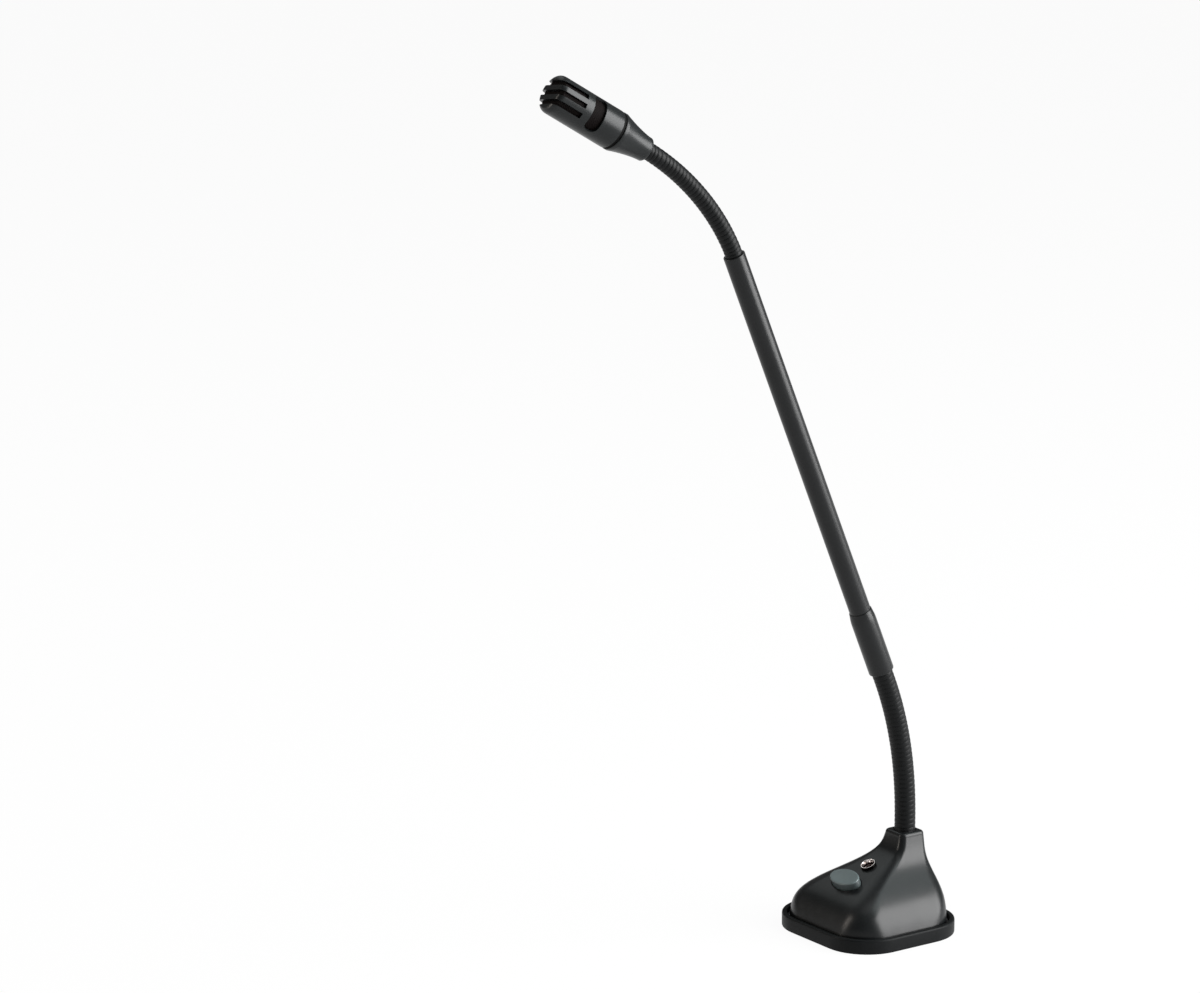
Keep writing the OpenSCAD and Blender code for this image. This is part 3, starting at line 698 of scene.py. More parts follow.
def tube(path, aside, radius, sides=12):
    """A round tube: a circle carried along a path in a plane whose normal is aside, with closed ends."""
    tangent = np.gradient(path, axis=0)
    tangent /= np.linalg.norm(tangent, axis=1, keepdims=True)
    across = np.cross(aside, tangent)
    angle = circle_angles(sides)[None, :, None]
    ring = np.cos(angle) * across[:, None] + np.sin(angle) * aside
    return path[:, None] + radius * ring, capped_faces(len(path), sides)


def prism(outline, low, high, place):
    """A flat outline raised from one height to another in a place, closed at both ends."""
    outline = np.asarray(outline, float)
    count = len(outline)
    points = np.stack([np.column_stack([outline, np.full(count, z)]) for z in (low, high)])
    return place.put(points), capped_faces(2, count)


def oval(width, length, count):
    """Ellipse with these two axes."""
    angle = circle_angles(count)
    return np.column_stack([width / 2 * np.cos(angle), length / 2 * np.sin(angle)])


def make_piece(name, surfaces, looks, crease=40.0, closed=True):
    """One object from several surfaces, each given as points, faces and the number of its finish."""
    points, faces, marks, start = [], [], [], 0
    for grid, corners, mark in surfaces:
        flat = np.asarray(grid).reshape(-1, 3)
        points.append(flat)
        faces += [[start + corner for corner in face] for face in corners]
        marks += [mark] * len(corners)
        start += len(flat)
    mesh = bpy.data.meshes.new(name)
    mesh.from_pydata(np.concatenate(points).tolist(), [], faces)
    mesh.polygons.foreach_set("material_index", marks)
    for look in looks:
        mesh.materials.append(finish(look))
    join_up(mesh, closed)
    smooth(mesh, crease)
    piece = bpy.data.objects.new(name, mesh)
    bpy.context.scene.collection.objects.link(piece)
    return piece


def plain_piece(name, surface, look, crease=40.0):
    """One object from one closed surface, with one finish."""
    return make_piece(name, [(*surface, 0)], [look], crease)


def join_up(mesh, closed):
    """Merges the points of poles and seams, and turns the faces of a closed mesh outwards."""
    work = bmesh.new()
    work.from_mesh(mesh)
    bmesh.ops.remove_doubles(work, verts=work.verts, dist=1e-6)
    bmesh.ops.dissolve_degenerate(work, dist=1e-7, edges=work.edges)
    if closed:
        bmesh.ops.recalc_face_normals(work, faces=work.faces)
    work.to_mesh(mesh)
    work.free()


def smooth(mesh, crease):
    """Smooth shading, with edges sharper than crease degrees kept."""
    mesh.shade_smooth()
    mesh.set_sharp_from_angle(angle=math.radians(crease))


def carve(piece, cutters, crease=40.0):
    """Cuts closed shapes out of a piece for good, and removes them."""
    made = [make_piece(f"cutter_{k}", [(*cutter, 0)], []) for k, cutter in enumerate(cutters)]
    for cutter in made:
        cut = piece.modifiers.new("cut", "BOOLEAN")
        cut.operation = "DIFFERENCE"
        cut.solver = "EXACT"
        cut.object = cutter
    bpy.context.view_layer.update()
    carved = bpy.data.meshes.new_from_object(piece.evaluated_get(bpy.context.evaluated_depsgraph_get()))
    piece.modifiers.clear()
    piece.data = carved
    for cutter in made:
        bpy.data.objects.remove(cutter)
    smooth(carved, crease)


def soft_edges(piece, width, segments=2):
    """A small live bevel on the edges that are left sharp."""
    bevel = piece.modifiers.new("soft_edges", "BEVEL")
    bevel.limit_method = "ANGLE"
    bevel.angle_limit = math.radians(38)
    bevel.width = width
    bevel.segments = segments
    bevel.harden_normals = True


def settle(piece, body, slot, *nodes):
    """Puts a piece on its body, in place of its solids. The finish slot that it is given is not used."""
    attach(piece, body)
    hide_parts(*nodes)


# Foot

# Round holes of the tray's floor in millimetres, each with its place across, its place along and its radius:
# four for the plate's screws, two for the inserts and one for the gland
TRAY_HOLES = [(x, y, 3.05) for x in (-21.5, 21.5) for y in (-16.5, 16.5)]
TRAY_HOLES += [(-16, 0, 3.5), (16, 0, 3.5), (0, 2, 6.7)]


def tray_surface():
    """The tray's outlines stacked along a rounded profile: from the underside, over the rim, to the floor.

    An outline is a rectangle whose corners are quarter circles, moved in by the profile's inset.
    """
    foot = settings("foot_sizes")
    wall, low, high = foot.tray_wall, foot.tray_floor, foot.tray_height
    middle = 6 * wall
    corners = [(middle, 0), (0, 0), (0, high), (wall, high), (wall, low), (middle, low)]
    inset, height = soften(corners, np.array([0, 0.6, 1.0, 0.8, 0.4, 0]) * MM).T
    reach = np.array([foot.tray_width, foot.tray_depth]) / 2 - foot.tray_round
    middles = reach * [(1, 1), (-1, 1), (-1, -1), (1, -1)]
    angle = (np.arange(4)[:, None] + np.linspace(0, 1, 15)) * QUARTER
    soft = (foot.tray_round - inset)[:, None, None, None]
    flat = middles[:, None] + soft * np.stack([np.cos(angle), np.sin(angle)], -1)
    flat = flat.reshape(len(inset), -1, 2)
    level = np.broadcast_to(height[:, None, None], (*flat.shape[:2], 1))
    return np.concatenate([flat, level], -1), capped_faces(*flat.shape[:2])


def shell_levels(z, inset, at):
    """Level outlines of the shell: rectangles with rounded corners, one row for each height.

    The share t of the height rises from 0 at the foot to 1 at the collar. The half width, the front and the
    back each shrink by (1 - t ** fall) ** sweep, the sides and the front also lean in by a straight taper,
    and the corners sharpen by (1 - t) ** fade. The outline is that of height z, moved in by inset and drawn
    at height `at`.
    """
    foot = settings("foot_sizes")
    arm = settings("arm_sizes")
    spots = Layout()
    least_round, margin = 0.4 * MM, 0.1 * MM
    z, inset, at = [np.broadcast_to(np.asarray(v, float), np.shape(at)) for v in (z, inset, at)]
    tall = foot.height - spots.plate_top
    t = np.clip((z - spots.plate_top) / tall, 0, 1)
    half = foot.collar / 2
    reach = spots.foot_x - half - foot.collar_taper * tall
    lean = foot.collar_taper * tall * (1 - t)
    x = half + lean + reach * (1 - t ** foot.side_fall) ** foot.side_sweep - inset
    front = spots.front_line(z) + inset
    heel = arm.neck_y + half
    back = heel + (spots.foot_y - heel) * (1 - t ** foot.back_fall) ** foot.back_sweep - inset
    fade = (1 - t) ** foot.corner_fade
    soft = foot.collar_round + (foot.tray_round - spots.inset - foot.collar_round) * fade - inset
    soft = np.maximum(soft, least_round)
    rx = np.minimum(soft, x - margin)
    ry = np.minimum(soft, (back - front) / 2 - margin)
    return corner_rows(x, front, back, rx, ry, at)


def corner_rows(x, front, back, rx, ry, at, arc=22, straight=12):
    """Rows of a rectangle with elliptic corners: each corner's arc, then points along the next edge."""
    sweep = np.linspace(0, QUARTER, arc)
    arcs = []
    for quarter, (side, end) in enumerate(((1, 1), (-1, 1), (-1, -1), (1, -1))):
        angle = quarter * QUARTER + sweep
        middle_x = side * (x - rx)
        middle_y = back - ry if end > 0 else front + ry
        across = middle_x[:, None] + rx[:, None] * np.cos(angle)
        along = middle_y[:, None] + ry[:, None] * np.sin(angle)
        arcs.append(np.stack([across, along], -1))
    share = np.linspace(0, 1, straight + 2)[1:-1][None, :, None]
    edges = [a[:, -1:] * (1 - share) + b[:, :1] * share for a, b in zip(arcs, arcs[1:] + arcs[:1])]
    rows = np.concatenate([part for pair in zip(arcs, edges) for part in pair], 1)
    height = np.broadcast_to(np.asarray(at)[:, None, None], (*rows.shape[:2], 1))
    return np.concatenate([rows, height], -1)


def shell_surface():
    """The shell as one closed loop of rows: up the outside, over the collar, down the bore and the inside."""
    foot = settings("foot_sizes")
    arm = settings("arm_sizes")
    spots = Layout()
    neck_play, mouth = 0.25 * MM, 0.35 * MM
    brow = foot.height - foot.collar_edge
    z = spots.plate_top + (brow - spots.plate_top) * np.linspace(0, 1, 84)
    outside = shell_levels(z, 0, z)
    bend = np.linspace(0, QUARTER, 9)[1:]
    edge_in, edge_up = foot.collar_edge * (1 - np.cos(bend)), foot.collar_edge * np.sin(bend)
    rounded = shell_levels(brow, edge_in, brow + edge_up)
    bore = arm.low_width / 2 + neck_play
    throat = foot.height - foot.throat
    spread = rounded[-1, :, :2] - (0, arm.neck_y)
    circle = spread / np.linalg.norm(spread, axis=1, keepdims=True)
    radius = np.array([bore + mouth, bore, bore])[:, None, None]
    drop = np.array([foot.height, foot.height - mouth, throat])[:, None, None]
    level = np.broadcast_to(drop, (3, len(circle), 1))
    hole = np.concatenate([circle * radius + (0, arm.neck_y), level], -1)
    z = np.linspace(throat, spots.plate_top, 24)
    inside = shell_levels(z + foot.roof, foot.wall, z)
    rows = np.concatenate([outside, rounded, hole, inside])
    return rows, grid_faces(*rows.shape[:2], closed=True)


def button_surface():
    """The oval button: rows from its flange up the side, round the crown and over a shallow dish.

    Each row is an ellipse. The dish sinks by (1 - share ** 2) ** 1.5, where share goes from 1 at the crown
    to 0 in the middle.
    """
    foot = settings("foot_sizes")
    spots = Layout()
    crown, top, flange = foot.button_edge, foot.button_rise, 1.2 * MM
    sink, flange_tall = 0.7 * MM, MM
    ledge = -foot.roof * math.cos(spots.tilt) - foot.wall * math.sin(spots.tilt) - sink
    under = ledge - flange_tall
    bend = np.linspace(0, QUARTER, 8)
    share = np.linspace(1, 0, 14)[1:]
    grow = np.concatenate([[flange, flange, 0, 0], crown * (np.cos(bend) - 1)])
    rise = np.concatenate([[under, ledge, ledge, 0], top - crown + crown * np.sin(bend)])
    dished = top - foot.button_dish * (1 - share ** 2) ** 1.5
    height = np.concatenate([[under], rise, dished])[:, None]
    halves = foot.button_width / 2, foot.button_length / 2
    wide, long = [np.concatenate([[0], half + grow, (half - crown) * share])[:, None] for half in halves]
    angle = circle_angles(128)
    rows = np.stack([wide * np.cos(angle), long * np.sin(angle), height + 0 * angle], -1)
    return spots.deck.put(rows), grid_faces(*rows.shape[:2])


class MICROPHONE_OT_tray(bpy.types.Operator):
    """Make the tray with its raised rim, and cut its holes"""

    bl_idname = "microphone.tray"
    bl_label = "Tray"

    def execute(self, context):
        top = settings("foot_sizes").tray_floor + MM
        tray = plain_piece("tray", tray_surface(), "tray_rubber")
        cutters = []
        for x, y, radius in np.array(TRAY_HOLES) * MM:
            cutters.append(prism(oval(2 * radius, 2 * radius, 48) + (x, y), -MM, top, GROUND))
        carve(tray, cutters)
        settle(tray, "base", "tray_rubber", "base_tray")
        return {"FINISHED"}


class MICROPHONE_OT_shell(bpy.types.Operator):
    """Make the swept shell, with the openings for the button and the lamp"""

    bl_idname = "microphone.shell"
    bl_label = "Shell"

    def execute(self, context):
        foot = settings("foot_sizes")
        spots = Layout()
        low, high = -8 * MM, 6 * MM
        shell = plain_piece("foot_shell", shell_surface(), "shell_satin")
        gap = 2 * foot.button_gap
        opening = oval(foot.button_width + gap, foot.button_length + gap, 96)
        hole_width, seat_width = foot.ring_width - 0.9 * MM, foot.ring_width + 0.4 * MM
        hole = oval(hole_width, hole_width, 48)
        seat = oval(seat_width, seat_width, 64)
        carve(shell, [
            prism(opening, low, high, spots.deck),
            prism(hole, low, high, spots.lamp),
            prism(seat, spots.lamp_seat, high, spots.lamp),
        ])
        soft_edges(shell, 0.25 * MM, 3)
        settle(shell, "base", "shell_black", "base_shell")
        return {"FINISHED"}


class MICROPHONE_OT_button(bpy.types.Operator):
    """Make the oval talk button"""

    bl_idname = "microphone.button"
    bl_label = "Talk button"

    def execute(self, context):
        button = plain_piece("button_cap", button_surface(), "button_plastic")
        settle(button, "button", "button_teal", "talk_button")
        return {"FINISHED"}


class MICROPHONE_OT_lamp(bpy.types.Operator):
    """Make the lamp and the bright ring round it"""

    bl_idname = "microphone.lamp"
    bl_label = "Lamp"

    def execute(self, context):
        foot = settings("foot_sizes")
        spots = Layout()
        seat, lamp_r, ring_r = spots.lamp_seat, foot.lamp_width / 2, foot.ring_width / 2
        play, lip, under = 0.05 * MM, 0.5 * MM, -4.4 * MM
        bore, tube_r, low, crest = lamp_r + play, ring_r - lip, seat + play, seat + foot.ring_rise
        corners = [(bore, under), (tube_r, under), (tube_r, low), (ring_r, low),
                   (ring_r, crest), (ring_r - lip, crest), (bore, seat)]
        profile = soften(corners, np.array([0, 0, 0, 0.1, 0.2, 0.15, 0.1]) * MM)
        ring = plain_piece("lamp_ring", lathe(profile, spots.lamp, 72), "ring_metal", 50)
        settle(ring, "base", "bezel_bright", "led_bezel")
        bend = np.linspace(0, QUARTER, 14)
        peak = seat + 0.5 * MM
        dome = np.column_stack([lamp_r * np.cos(bend), peak - lamp_r + lamp_r * np.sin(bend)])
        flange, sole = lamp_r + 0.4 * MM, under - 0.9 * MM
        stand = [(0, sole), (flange, sole), (flange, under), (lamp_r, under)]
        surfaces = [(*lathe(np.concatenate([stand, dome]), spots.lamp, 64), 0)]
        lead_step, lead_r, lead_end = 1.27 * MM, 0.25 * MM, -9 * MM
        wire = [(0, lead_end), (lead_r, lead_end), (lead_r, sole), (0, sole)]
        for side in (-1, 1):
            lead = spots.lamp.step((side * lead_step, 0, 0))
            surfaces.append((*lathe(wire, lead, 16), 1))
        lamp = make_piece("lamp", surfaces, ["lamp_lens", "screw_steel"])
        settle(lamp, "base", "lamp_dark", "indicator_led")
        return {"FINISHED"}


# Necks

class Neck:
    """The middle line of a flexible neck and its wound wire.

    The line is a chain of quadratic curves: each runs from the middle of one length to the middle of the next
    and is drawn towards the hinge between them. Places on it are counted in turns of the winding from the
    neck's start.
    """

    WIRE_ROWS = 9

    def __init__(self, points, link_turns, pitch, radius, depth, aside):
        self.points = points
        self.pitch = pitch
        self.radius = radius
        self.depth = depth
        self.aside = aside
        self.starts = np.concatenate([[0], np.cumsum(link_turns)])
        self.middles = (self.starts[:-1] + self.starts[1:]) / 2
        self.halves = (points[:-1] + points[1:]) / 2
        self.fill = settings("arm_sizes").wire_fill

    def line(self, turns):
        """Points of the middle line, straight before the first middle and after the last one."""
        turns = np.asarray(turns, float)
        k = np.clip(np.searchsorted(self.middles, turns, side="right") - 1, 0, len(self.middles) - 2)
        span = self.middles[k + 1] - self.middles[k]
        t = np.clip((turns - self.middles[k]) / span, 0, 1)[..., None]
        a, b, c = self.halves[k], self.points[k + 1], self.halves[k + 1]
        bent = (1 - t) ** 2 * a + 2 * t * (1 - t) * b + t ** 2 * c
        before = np.minimum(turns - self.middles[0], 0)[..., None] * self.pitch
        after = np.maximum(turns - self.middles[-1], 0)[..., None] * self.pitch
        return bent + before * self.way(0) + after * self.way(-2)

    def way(self, link):
        """Direction of one straight length, counted by the point that it starts from."""
        step = self.points[link + 1] - self.points[link]
        return step / np.linalg.norm(step)

    def across(self, turns):
        """Unit vectors at right angles to the line, in its own plane."""
        nearby = 0.01
        ahead = self.line(turns + nearby) - self.line(turns - nearby)
        ahead /= np.linalg.norm(ahead, axis=-1, keepdims=True)
        return np.cross(self.aside, ahead)

    def winding(self, first, last, sides):
        """Wound wire from one turn to another, as rows that climb by one turn while they go round once.

        A row's share of a turn gives its radius: a half ellipse over the wire and the core in the groove.
        The last point of a row lies on the first point of the row one turn later, so the winding closes
        on itself.
        """
        arch = self.fill * np.sin(np.linspace(-1, 1, self.WIRE_ROWS) * QUARTER)
        share = np.concatenate([[0], (arch + 1) / 2])
        swell = np.concatenate([[0], np.sqrt(np.maximum(1 - (arch / self.fill) ** 2, 0))])
        whole = np.arange(first, last)
        turns = np.append((whole[:, None] + share).ravel(), last)
        radius = self.radius - self.depth + self.depth * np.append(np.tile(swell, len(whole)), 0)
        angle = np.linspace(0, FULL_TURN, sides + 1)
        spots = turns[:, None] + angle / FULL_TURN - 0.5
        ring = np.cos(angle)[:, None] * self.across(spots) + np.sin(angle)[:, None] * self.aside
        points = self.line(spots) + radius[:, None, None] * ring
        return points, grid_faces(len(turns), sides + 1, round_up=False)


def make_neck(label, neck, sides):
    """One bending piece for each hinge, with its cable, from the middle of one length to that of the next.

    The first piece starts and the last one ends a few turns past the neck's own ends, inside what holds it.
    """
    hold = 2
    count = Layout.HINGES
    turns = np.rint(neck.middles).astype(int)
    firsts = [-hold, *turns[1:-1]]
    lasts = [*turns[1:-1], int(neck.starts[-1]) + hold]
    ends = [neck.starts[0], *neck.middles[1:-1], neck.starts[-1]]
    cable_r = settings("arm_sizes").cable_width / 2
    for k in range(count):
        wire = neck.winding(firsts[k], lasts[k], sides)
        inner = tube(neck.line(np.linspace(ends[k], ends[k + 1], 9)), neck.aside, cable_r)
        surfaces = [(*wire, 0), (*inner, 1)]
        piece = make_piece(f"{label}_coil_{k + 1}", surfaces, ["neck_wire", "cable_jacket"], 75, False)
        start, end = neck.line(np.array([turns[k] + 0.5, turns[k + 1] - 0.5]))
        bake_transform(piece)
        nodes = [f"{label}_neck_{k + 1}"] + ([f"{label}_neck_{count + 1}"] if k == count - 1 else [])
        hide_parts(*nodes)


class MICROPHONE_OT_lower_neck(bpy.types.Operator):
    """Make the thick wound neck, bending from hinge to hinge"""

    bl_idname = "microphone.lower_neck"
    bl_label = "Lower neck"

    def execute(self, context):
        arm = settings("arm_sizes")
        spots = Layout()
        radius = arm.low_width / 2
        neck = Neck(spots.lower, spots.low_turns, arm.low_pitch, radius, arm.low_depth, spots.aside)
        make_neck("lower", neck, 48)
        return {"FINISHED"}


class MICROPHONE_OT_upper_neck(bpy.types.Operator):
    """Make the thin wound neck, bending from hinge to hinge"""

    bl_idname = "microphone.upper_neck"
    bl_label = "Upper neck"

    def execute(self, context):
        arm = settings("arm_sizes")
        spots = Layout()
        radius = arm.up_width / 2
        neck = Neck(spots.upper, spots.up_turns, arm.up_pitch, radius, arm.up_depth, spots.aside)
        make_neck("upper", neck, 44)
        return {"FINISHED"}


class MICROPHONE_OT_stem(bpy.types.Operator):
    """Make the tube and the coupling sleeve"""

    bl_idname = "microphone.stem"
    bl_label = "Stem"

    def execute(self, context):
        arm = settings("arm_sizes")
        stem = Layout().stem
        outer, low, top = arm.tube_width / 2, 8 * MM, arm.stem_length
        bore = outer - arm.tube_wall
        corners = [(bore, low), (outer, low), (outer, top), (bore, top)]
        profile = soften(corners, np.array([0, 0.1, 0.4, 0.2]) * MM)
        pipe = plain_piece("stem_pipe", lathe(profile, stem, 80), "stem_satin")
        settle(pipe, "stem", "stem_black", "stem_tube")
        wide, grip, tall = arm.sleeve_width / 2, outer + 0.05 * MM, arm.sleeve_length
        lip, brow = grip + 0.25 * MM, tall - arm.sleeve_taper
        corners = [(grip, 0), (wide, 0), (wide, brow), (lip, tall), (grip, tall)]
        profile = soften(corners, np.array([0.1, 0.5, 1.6, 0.15, 0.05]) * MM)
        sleeve = plain_piece("sleeve", lathe(profile, stem, 80), "stem_satin")
        settle(sleeve, "stem", "stem_black", "stem_sleeve")
        return {"FINISHED"}


def foot_cable_path():
    """Points of the cable in the foot.

    A cubic curve runs from the header down to the plate and up to the throat, and then a straight line.
    """
    foot = settings("foot_sizes")
    arm = settings("arm_sizes")
    spots = Layout()
    header_step, header_drop = 8 * MM, 14.6 * MM
    header = spots.deck.put((0, header_step, -header_drop - 0.35 * arm.cable_width))
    out, start = (arm.neck_y - header[1]) / math.cos(arm.neck_yaw), header[2]
    sag = spots.plate_top + 1.5 * MM
    rise = foot.height - foot.throat - 6 * MM
    pulls = np.array([(out, 0, start), (out - 3 * MM, 0, sag + MM), (0, 0, sag), (0, 0, rise)])
    t = np.linspace(0, 1, 24)[:, None]
    weights = [(1 - t) ** 3, 3 * t * (1 - t) ** 2, 3 * t * t * (1 - t), t ** 3]
    curve = sum(weight * point for weight, point in zip(weights, pulls))
    return spots.neck.put(np.concatenate([curve, [(0, 0, foot.height)]]))


class MICROPHONE_OT_cable(bpy.types.Operator):
    """Make the stretches of inner cable in the foot, the stem and the head"""

    bl_idname = "microphone.cable"
    bl_label = "Inner cable"

    def execute(self, context):
        arm = settings("arm_sizes")
        spots = Layout()
        in_stem = spots.stem.put([(0, 0, 0), (0, 0, arm.stem_length)])
        in_head = spots.head.put([(0, 0, 0), (0, 0, HeadLines().spigot)])
        in_foot = foot_cable_path()
        routes = (("foot", in_foot, "base"), ("stem", in_stem, "stem"), ("head", in_head, "head"))
        for name, path, body in routes:
            surface = tube(path, spots.aside, arm.cable_width / 2)
            piece = plain_piece(f"cable_in_{name}", surface, "cable_jacket")
            settle(piece, body, "cable_black", "mic_cable")
        return {"FINISHED"}


# Head

class HeadLines:
    """Radii and levels that the barrel, the cone and the mesh share, measured from the head's foot."""

    def __init__(self):
        head = settings("head_sizes")
        self.radius = head.width / 2
        self.bore = self.radius - head.wall
        self.seat = self.bore - 0.05 * MM
        self.cone_top = head.cone - head.seam / 2
        self.barrel_foot = head.cone + head.seam / 2
        self.spigot = self.barrel_foot + head.spigot
        self.top = head.length
        self.inner_top = head.length - head.front


def barrel_profile():
    """Radius and height round the barrel's wall and its front, with a well rounded front edge."""
    lines = HeadLines()
    corners = [(lines.bore, lines.barrel_foot), (lines.radius, lines.barrel_foot), (lines.radius, lines.top),
               (0, lines.top), (0, lines.inner_top), (lines.bore, lines.inner_top)]
    front_edge = settings("head_sizes").edge * 1.3
    return soften(corners, np.array([0.1 * MM, 0.25 * MM, front_edge, 0, 0, 0.2 * MM]), 10)


def cone_profile():
    """Radius and height round the tail cone: its hollow flare, its land, the spigot and the bore.

    The flare widens with a power of the height. Its foot and the edge at the seam have small chamfers.
    """
    head = settings("head_sizes")
    lines = HeadLines()
    end, bore, chamfer = head.cone_end / 2, 1.75 * MM, 0.2 * MM
    rise = np.linspace(0, 1, 24)
    spread = end + (lines.radius - end) * rise ** head.flare
    flare = np.column_stack([spread, rise * (lines.cone_top - head.land)])
    flare[0] = (end - 0.25 * MM, 0)
    flare[1, 1] = 0.35 * MM
    rest = [(lines.radius, lines.cone_top - chamfer), (lines.radius - chamfer, lines.cone_top),
            (lines.seat, lines.cone_top), (lines.seat, lines.spigot), (bore, lines.spigot), (bore, 0)]
    return np.concatenate([flare, rest])


def mesh_profile():
    """Radius and height round the mesh, a thin cup inside the barrel."""
    lines = HeadLines()
    thick, tip = settings("head_sizes").mesh, lines.inner_top - 0.05 * MM
    inner, low = lines.seat - thick, tip - thick
    return [(inner, lines.spigot), (lines.seat, lines.spigot), (lines.seat, tip),
            (0, tip), (0, low), (inner, low)]


def cap_cutters():
    """Three slots across the front, and two windows that each span an angle of the side."""
    head = settings("head_sizes")
    place = Layout().head.step((0, 0, 0), spin(2, head.roll))
    low = head.length - head.slot_length
    reach, half_slot = head.width, head.slot_width / 2
    cutters = []
    for k in (-1, 0, 1):
        left, right = k * head.slot_pitch - half_slot, k * head.slot_pitch + half_slot
        outline = [(-reach, left), (reach, left), (reach, right), (-reach, right)]
        cutters.append(prism(outline, low, head.length + MM, place))
    middle = low - head.ring - head.window / 2
    near, far = head.width / 2 - 2 * head.wall, head.width / 2 + head.wall
    radius = np.array([near, far, far, near])[:, None]
    bend, half = window_line()
    height = (middle + half[:, None] * np.array([-1, -1, 1, 1]))[..., None]
    for side in (0, math.pi):
        rim = np.stack([np.cos(bend + side), np.sin(bend + side)], -1)[:, None] * radius
        points = place.put(np.concatenate([rim, height], -1))
        cutters.append((points, grid_faces(len(bend), 4)))
    return cutters


def window_line():
    """Angles along a window and its half length at each: straight, with a half circle at each end."""
    head = settings("head_sizes")
    end, radius = head.window / 2, head.width / 2
    straight = head.window_angle / 2 - math.asin(end / radius)
    quarter = np.linspace(0, QUARTER, 10)
    tail = straight + np.arcsin(end * np.sin(quarter) / radius)
    middle = np.linspace(-straight, straight, 21)[1:-1]
    bend = np.concatenate([-tail[::-1], middle, tail])
    half = np.concatenate([end * np.cos(quarter[::-1]), np.full(len(middle), end), end * np.cos(quarter)])
    return bend, half


class MICROPHONE_OT_head(bpy.types.Operator):
    """Make the slotted barrel, the tail cone and the mesh"""

    bl_idname = "microphone.head"
    bl_label = "Head"

    def execute(self, context):
        place = Layout().head
        barrel = plain_piece("barrel", lathe(barrel_profile(), place, 144), "head_metal")
        carve(barrel, cap_cutters(), 35)
        soft_edges(barrel, 0.14 * MM)
        settle(barrel, "head", "head_grey", "grille_cap")
        cone = plain_piece("cone", lathe(cone_profile(), place, 112), "head_metal")
        settle(cone, "head", "head_grey", "tail_cone")
        liner = plain_piece("mesh", lathe(mesh_profile(), place, 96), "head_mesh")
        settle(liner, "head", "mesh_brown", "mesh_liner")
        return {"FINISHED"}


# Inner pieces

NODE_FINISHES = {
    "bottom_plate": "plate_zinc", "plate_screws": "screw_steel", "fixing_inserts": "turned_brass",
    "cable_grommet": "soft_rubber", "switch_board": "board_green", "board_screws": "screw_steel",
    "cable_header": "header_ivory", "push_switch": "switch_grey", "switch_plunger": "plunger_white",
    "neck_set_screw": "screw_steel", "neck_root_ferrule": "screw_steel", "stem_plug": "plated_black",
    "stem_bush": "plated_black", "head_ferrule": "turned_brass", "seam_ring": "seam_rubber",
    "capsule": "capsule_tin", "capsule_boot": "soft_rubber", "capsule_board": "board_green",
}


class MICROPHONE_OT_inner(bpy.types.Operator):
    """Paint the solids that are shown as they are: plate, screws, inserts, gland, boards and fittings"""

    bl_idname = "microphone.inner"
    bl_label = "Inner pieces"

    def execute(self, context):
        for node, name in NODE_FINISHES.items():
            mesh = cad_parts[node].data
            mesh.materials.clear()
            mesh.materials.append(finish(name))
        return {"FINISHED"}


# Stage

CAMERA_PLACE = (1.63074, -1.30366, 0.69352)
CAMERA_VIEW = (-0.79355, 0.56286, -0.23121)
LENS_MM = 146.67
SENSOR_MM = 36.0
FLOOR_REACH = 6.0
WORLD_STRENGTH = 0.13
LIGHT_AIM = (0.0, -0.03, 0.17)

# Name, place, width, height, power and colour of each light
LIGHTS = (
    ("right_light", (1.08, 1.01, 0.68), 1.3, 1.35, 60.0, (1.0, 1.0, 1.0)),
    ("high_light", (0.42, 0.70, 1.48), 0.9, 0.7, 7.0, (0.90, 1.0, 1.0)),
    ("top_light", (0.1, 0.0, 1.9), 1.0, 1.0, 3.0, (1.0, 1.0, 1.0)),
    ("left_light", (-1.05, 0.08, 1.35), 0.9, 0.9, 2.3, (0.94, 1.0, 1.0)),
    ("front_light", (-0.80, -1.47, 0.80), 0.4, 1.3, 11.0, (1.0, 0.92, 0.84)),
)


def floor_pale():
    """Pale floor: nearly white to the camera and in reflections, with the object's soft shadow kept."""
    shade = settings("finishes").floor
    paint = Paint("floor_pale")
    path = paint.node("ShaderNodeLightPath").outputs
    rays = ("Is Camera Ray", "Is Glossy Ray", "Is Transmission Ray")
    camera, glossy, through = [Value(paint, path[ray]) for ray in rays]
    seen = (camera + glossy + through).above(edge=0.5, width=1.0)
    grain = paint.noise(scale=30.0)
    matt = paint.node("ShaderNodeBsdfDiffuse", None, {"Color": paint.between(shade, 0.99, 1.0, grain)})
    glow = paint.node("ShaderNodeEmission", None, {"Color": (1, 1, 1, 1), "Strength": 1.0})
    sockets = {0: seen * 0.95, 1: matt.outputs[0], 2: glow.outputs[0]}
    return paint.put_out(paint.node("ShaderNodeMixShader", None, sockets))


def set_world():
    """A dim even light from all round."""
    world = bpy.data.worlds.new("studio")
    world.use_nodes = True
    around = world.node_tree.nodes["Background"]
    around.inputs["Color"].default_value = (1, 1, 1, 1)
    around.inputs["Strength"].default_value = WORLD_STRENGTH
    bpy.context.scene.world = world


def set_up(thing, place, direction):
    """Puts a camera or a light at a place, facing a direction, with its top upwards."""
    thing.location = place
    thing.rotation_euler = Vector(direction).to_track_quat("-Z", "Y").to_euler()
    bpy.context.scene.collection.objects.link(thing)


def soft_light(name, place, width, height, power, shade):
    """A rectangular studio light that faces the microphone."""
    data = bpy.data.lights.new(name, "AREA")
    data.color = shade
    data.shape = "RECTANGLE"
    data.size, data.size_y = width, height
    data.energy = power
    set_up(bpy.data.objects.new(name, data), place, Vector(LIGHT_AIM) - Vector(place))


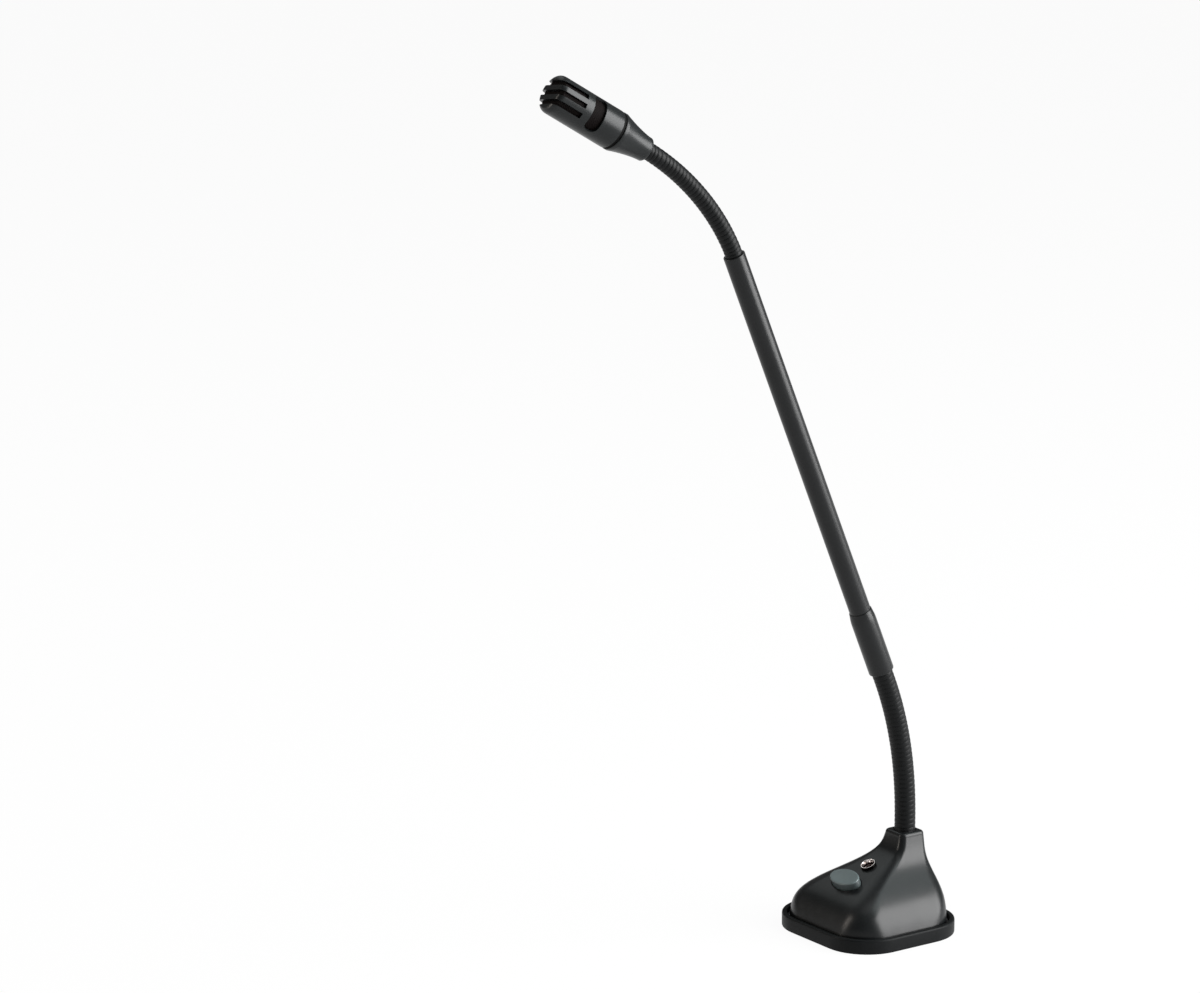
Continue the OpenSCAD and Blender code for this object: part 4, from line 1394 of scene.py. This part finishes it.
class MICROPHONE_OT_stage(bpy.types.Operator):
    """Set the camera, the floor and the studio light"""

    bl_idname = "microphone.stage"
    bl_label = "Stage"

    def execute(self, context):
        data = bpy.data.cameras.new("camera")
        data.sensor_width = SENSOR_MM
        data.lens = LENS_MM
        data.clip_start, data.clip_end = 0.05, 50.0
        camera = bpy.data.objects.new("camera", data)
        set_up(camera, CAMERA_PLACE, CAMERA_VIEW)
        context.scene.camera = camera
        far = FLOOR_REACH
        mesh = bpy.data.meshes.new("floor")
        mesh.from_pydata([(-far, -far, 0), (far, -far, 0), (far, far, 0), (-far, far, 0)], [], [(0, 1, 2, 3)])
        mesh.materials.append(floor_pale())
        floor = bpy.data.objects.new("floor", mesh)
        context.scene.collection.objects.link(floor)
        set_world()
        for light in LIGHTS:
            soft_light(*light)
        context.scene.view_settings.view_transform = "Standard"
        return {"FINISHED"}


# Add-on

OPERATORS = (
    MICROPHONE_OT_stage, MICROPHONE_OT_cable, MICROPHONE_OT_tray, MICROPHONE_OT_shell,
    MICROPHONE_OT_button, MICROPHONE_OT_lamp, MICROPHONE_OT_lower_neck, MICROPHONE_OT_stem,
    MICROPHONE_OT_upper_neck, MICROPHONE_OT_head, MICROPHONE_OT_inner,
)


class MICROPHONE_PT_panel(bpy.types.Panel):
    """Lists the pieces and their settings"""

    bl_idname = "MICROPHONE_PT_panel"
    bl_label = "Microphone"
    bl_space_type = "VIEW_3D"
    bl_region_type = "UI"
    bl_category = "Microphone"

    def draw(self, context):
        for operator in OPERATORS:
            self.layout.operator(operator.bl_idname)
        for name, group in GROUPS:
            box = self.layout.box()
            box.label(text=name.replace("_", " ").capitalize())
            for key in group.__annotations__:
                box.prop(getattr(context.scene, name), key)


CLASSES = (*[group for _, group in GROUPS], *OPERATORS, MICROPHONE_PT_panel)


def register():
    for made in CLASSES:
        bpy.utils.register_class(made)
    for name, group in GROUPS:
        setattr(bpy.types.Scene, name, bpy.props.PointerProperty(type=group))


def unregister():
    for name, _ in GROUPS:
        delattr(bpy.types.Scene, name)
    for made in reversed(CLASSES):
        bpy.utils.unregister_class(made)


def main():
    """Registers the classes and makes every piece."""
    register()
    bpy.ops.microphone.stage()
    bpy.ops.microphone.cable()
    bpy.ops.microphone.tray()
    bpy.ops.microphone.shell()
    bpy.ops.microphone.button()
    bpy.ops.microphone.lamp()
    bpy.ops.microphone.lower_neck()
    bpy.ops.microphone.stem()
    bpy.ops.microphone.upper_neck()
    bpy.ops.microphone.head()
    bpy.ops.microphone.inner()
    bpy.context.view_layer.update()


if __name__ == "__main__":
    main()
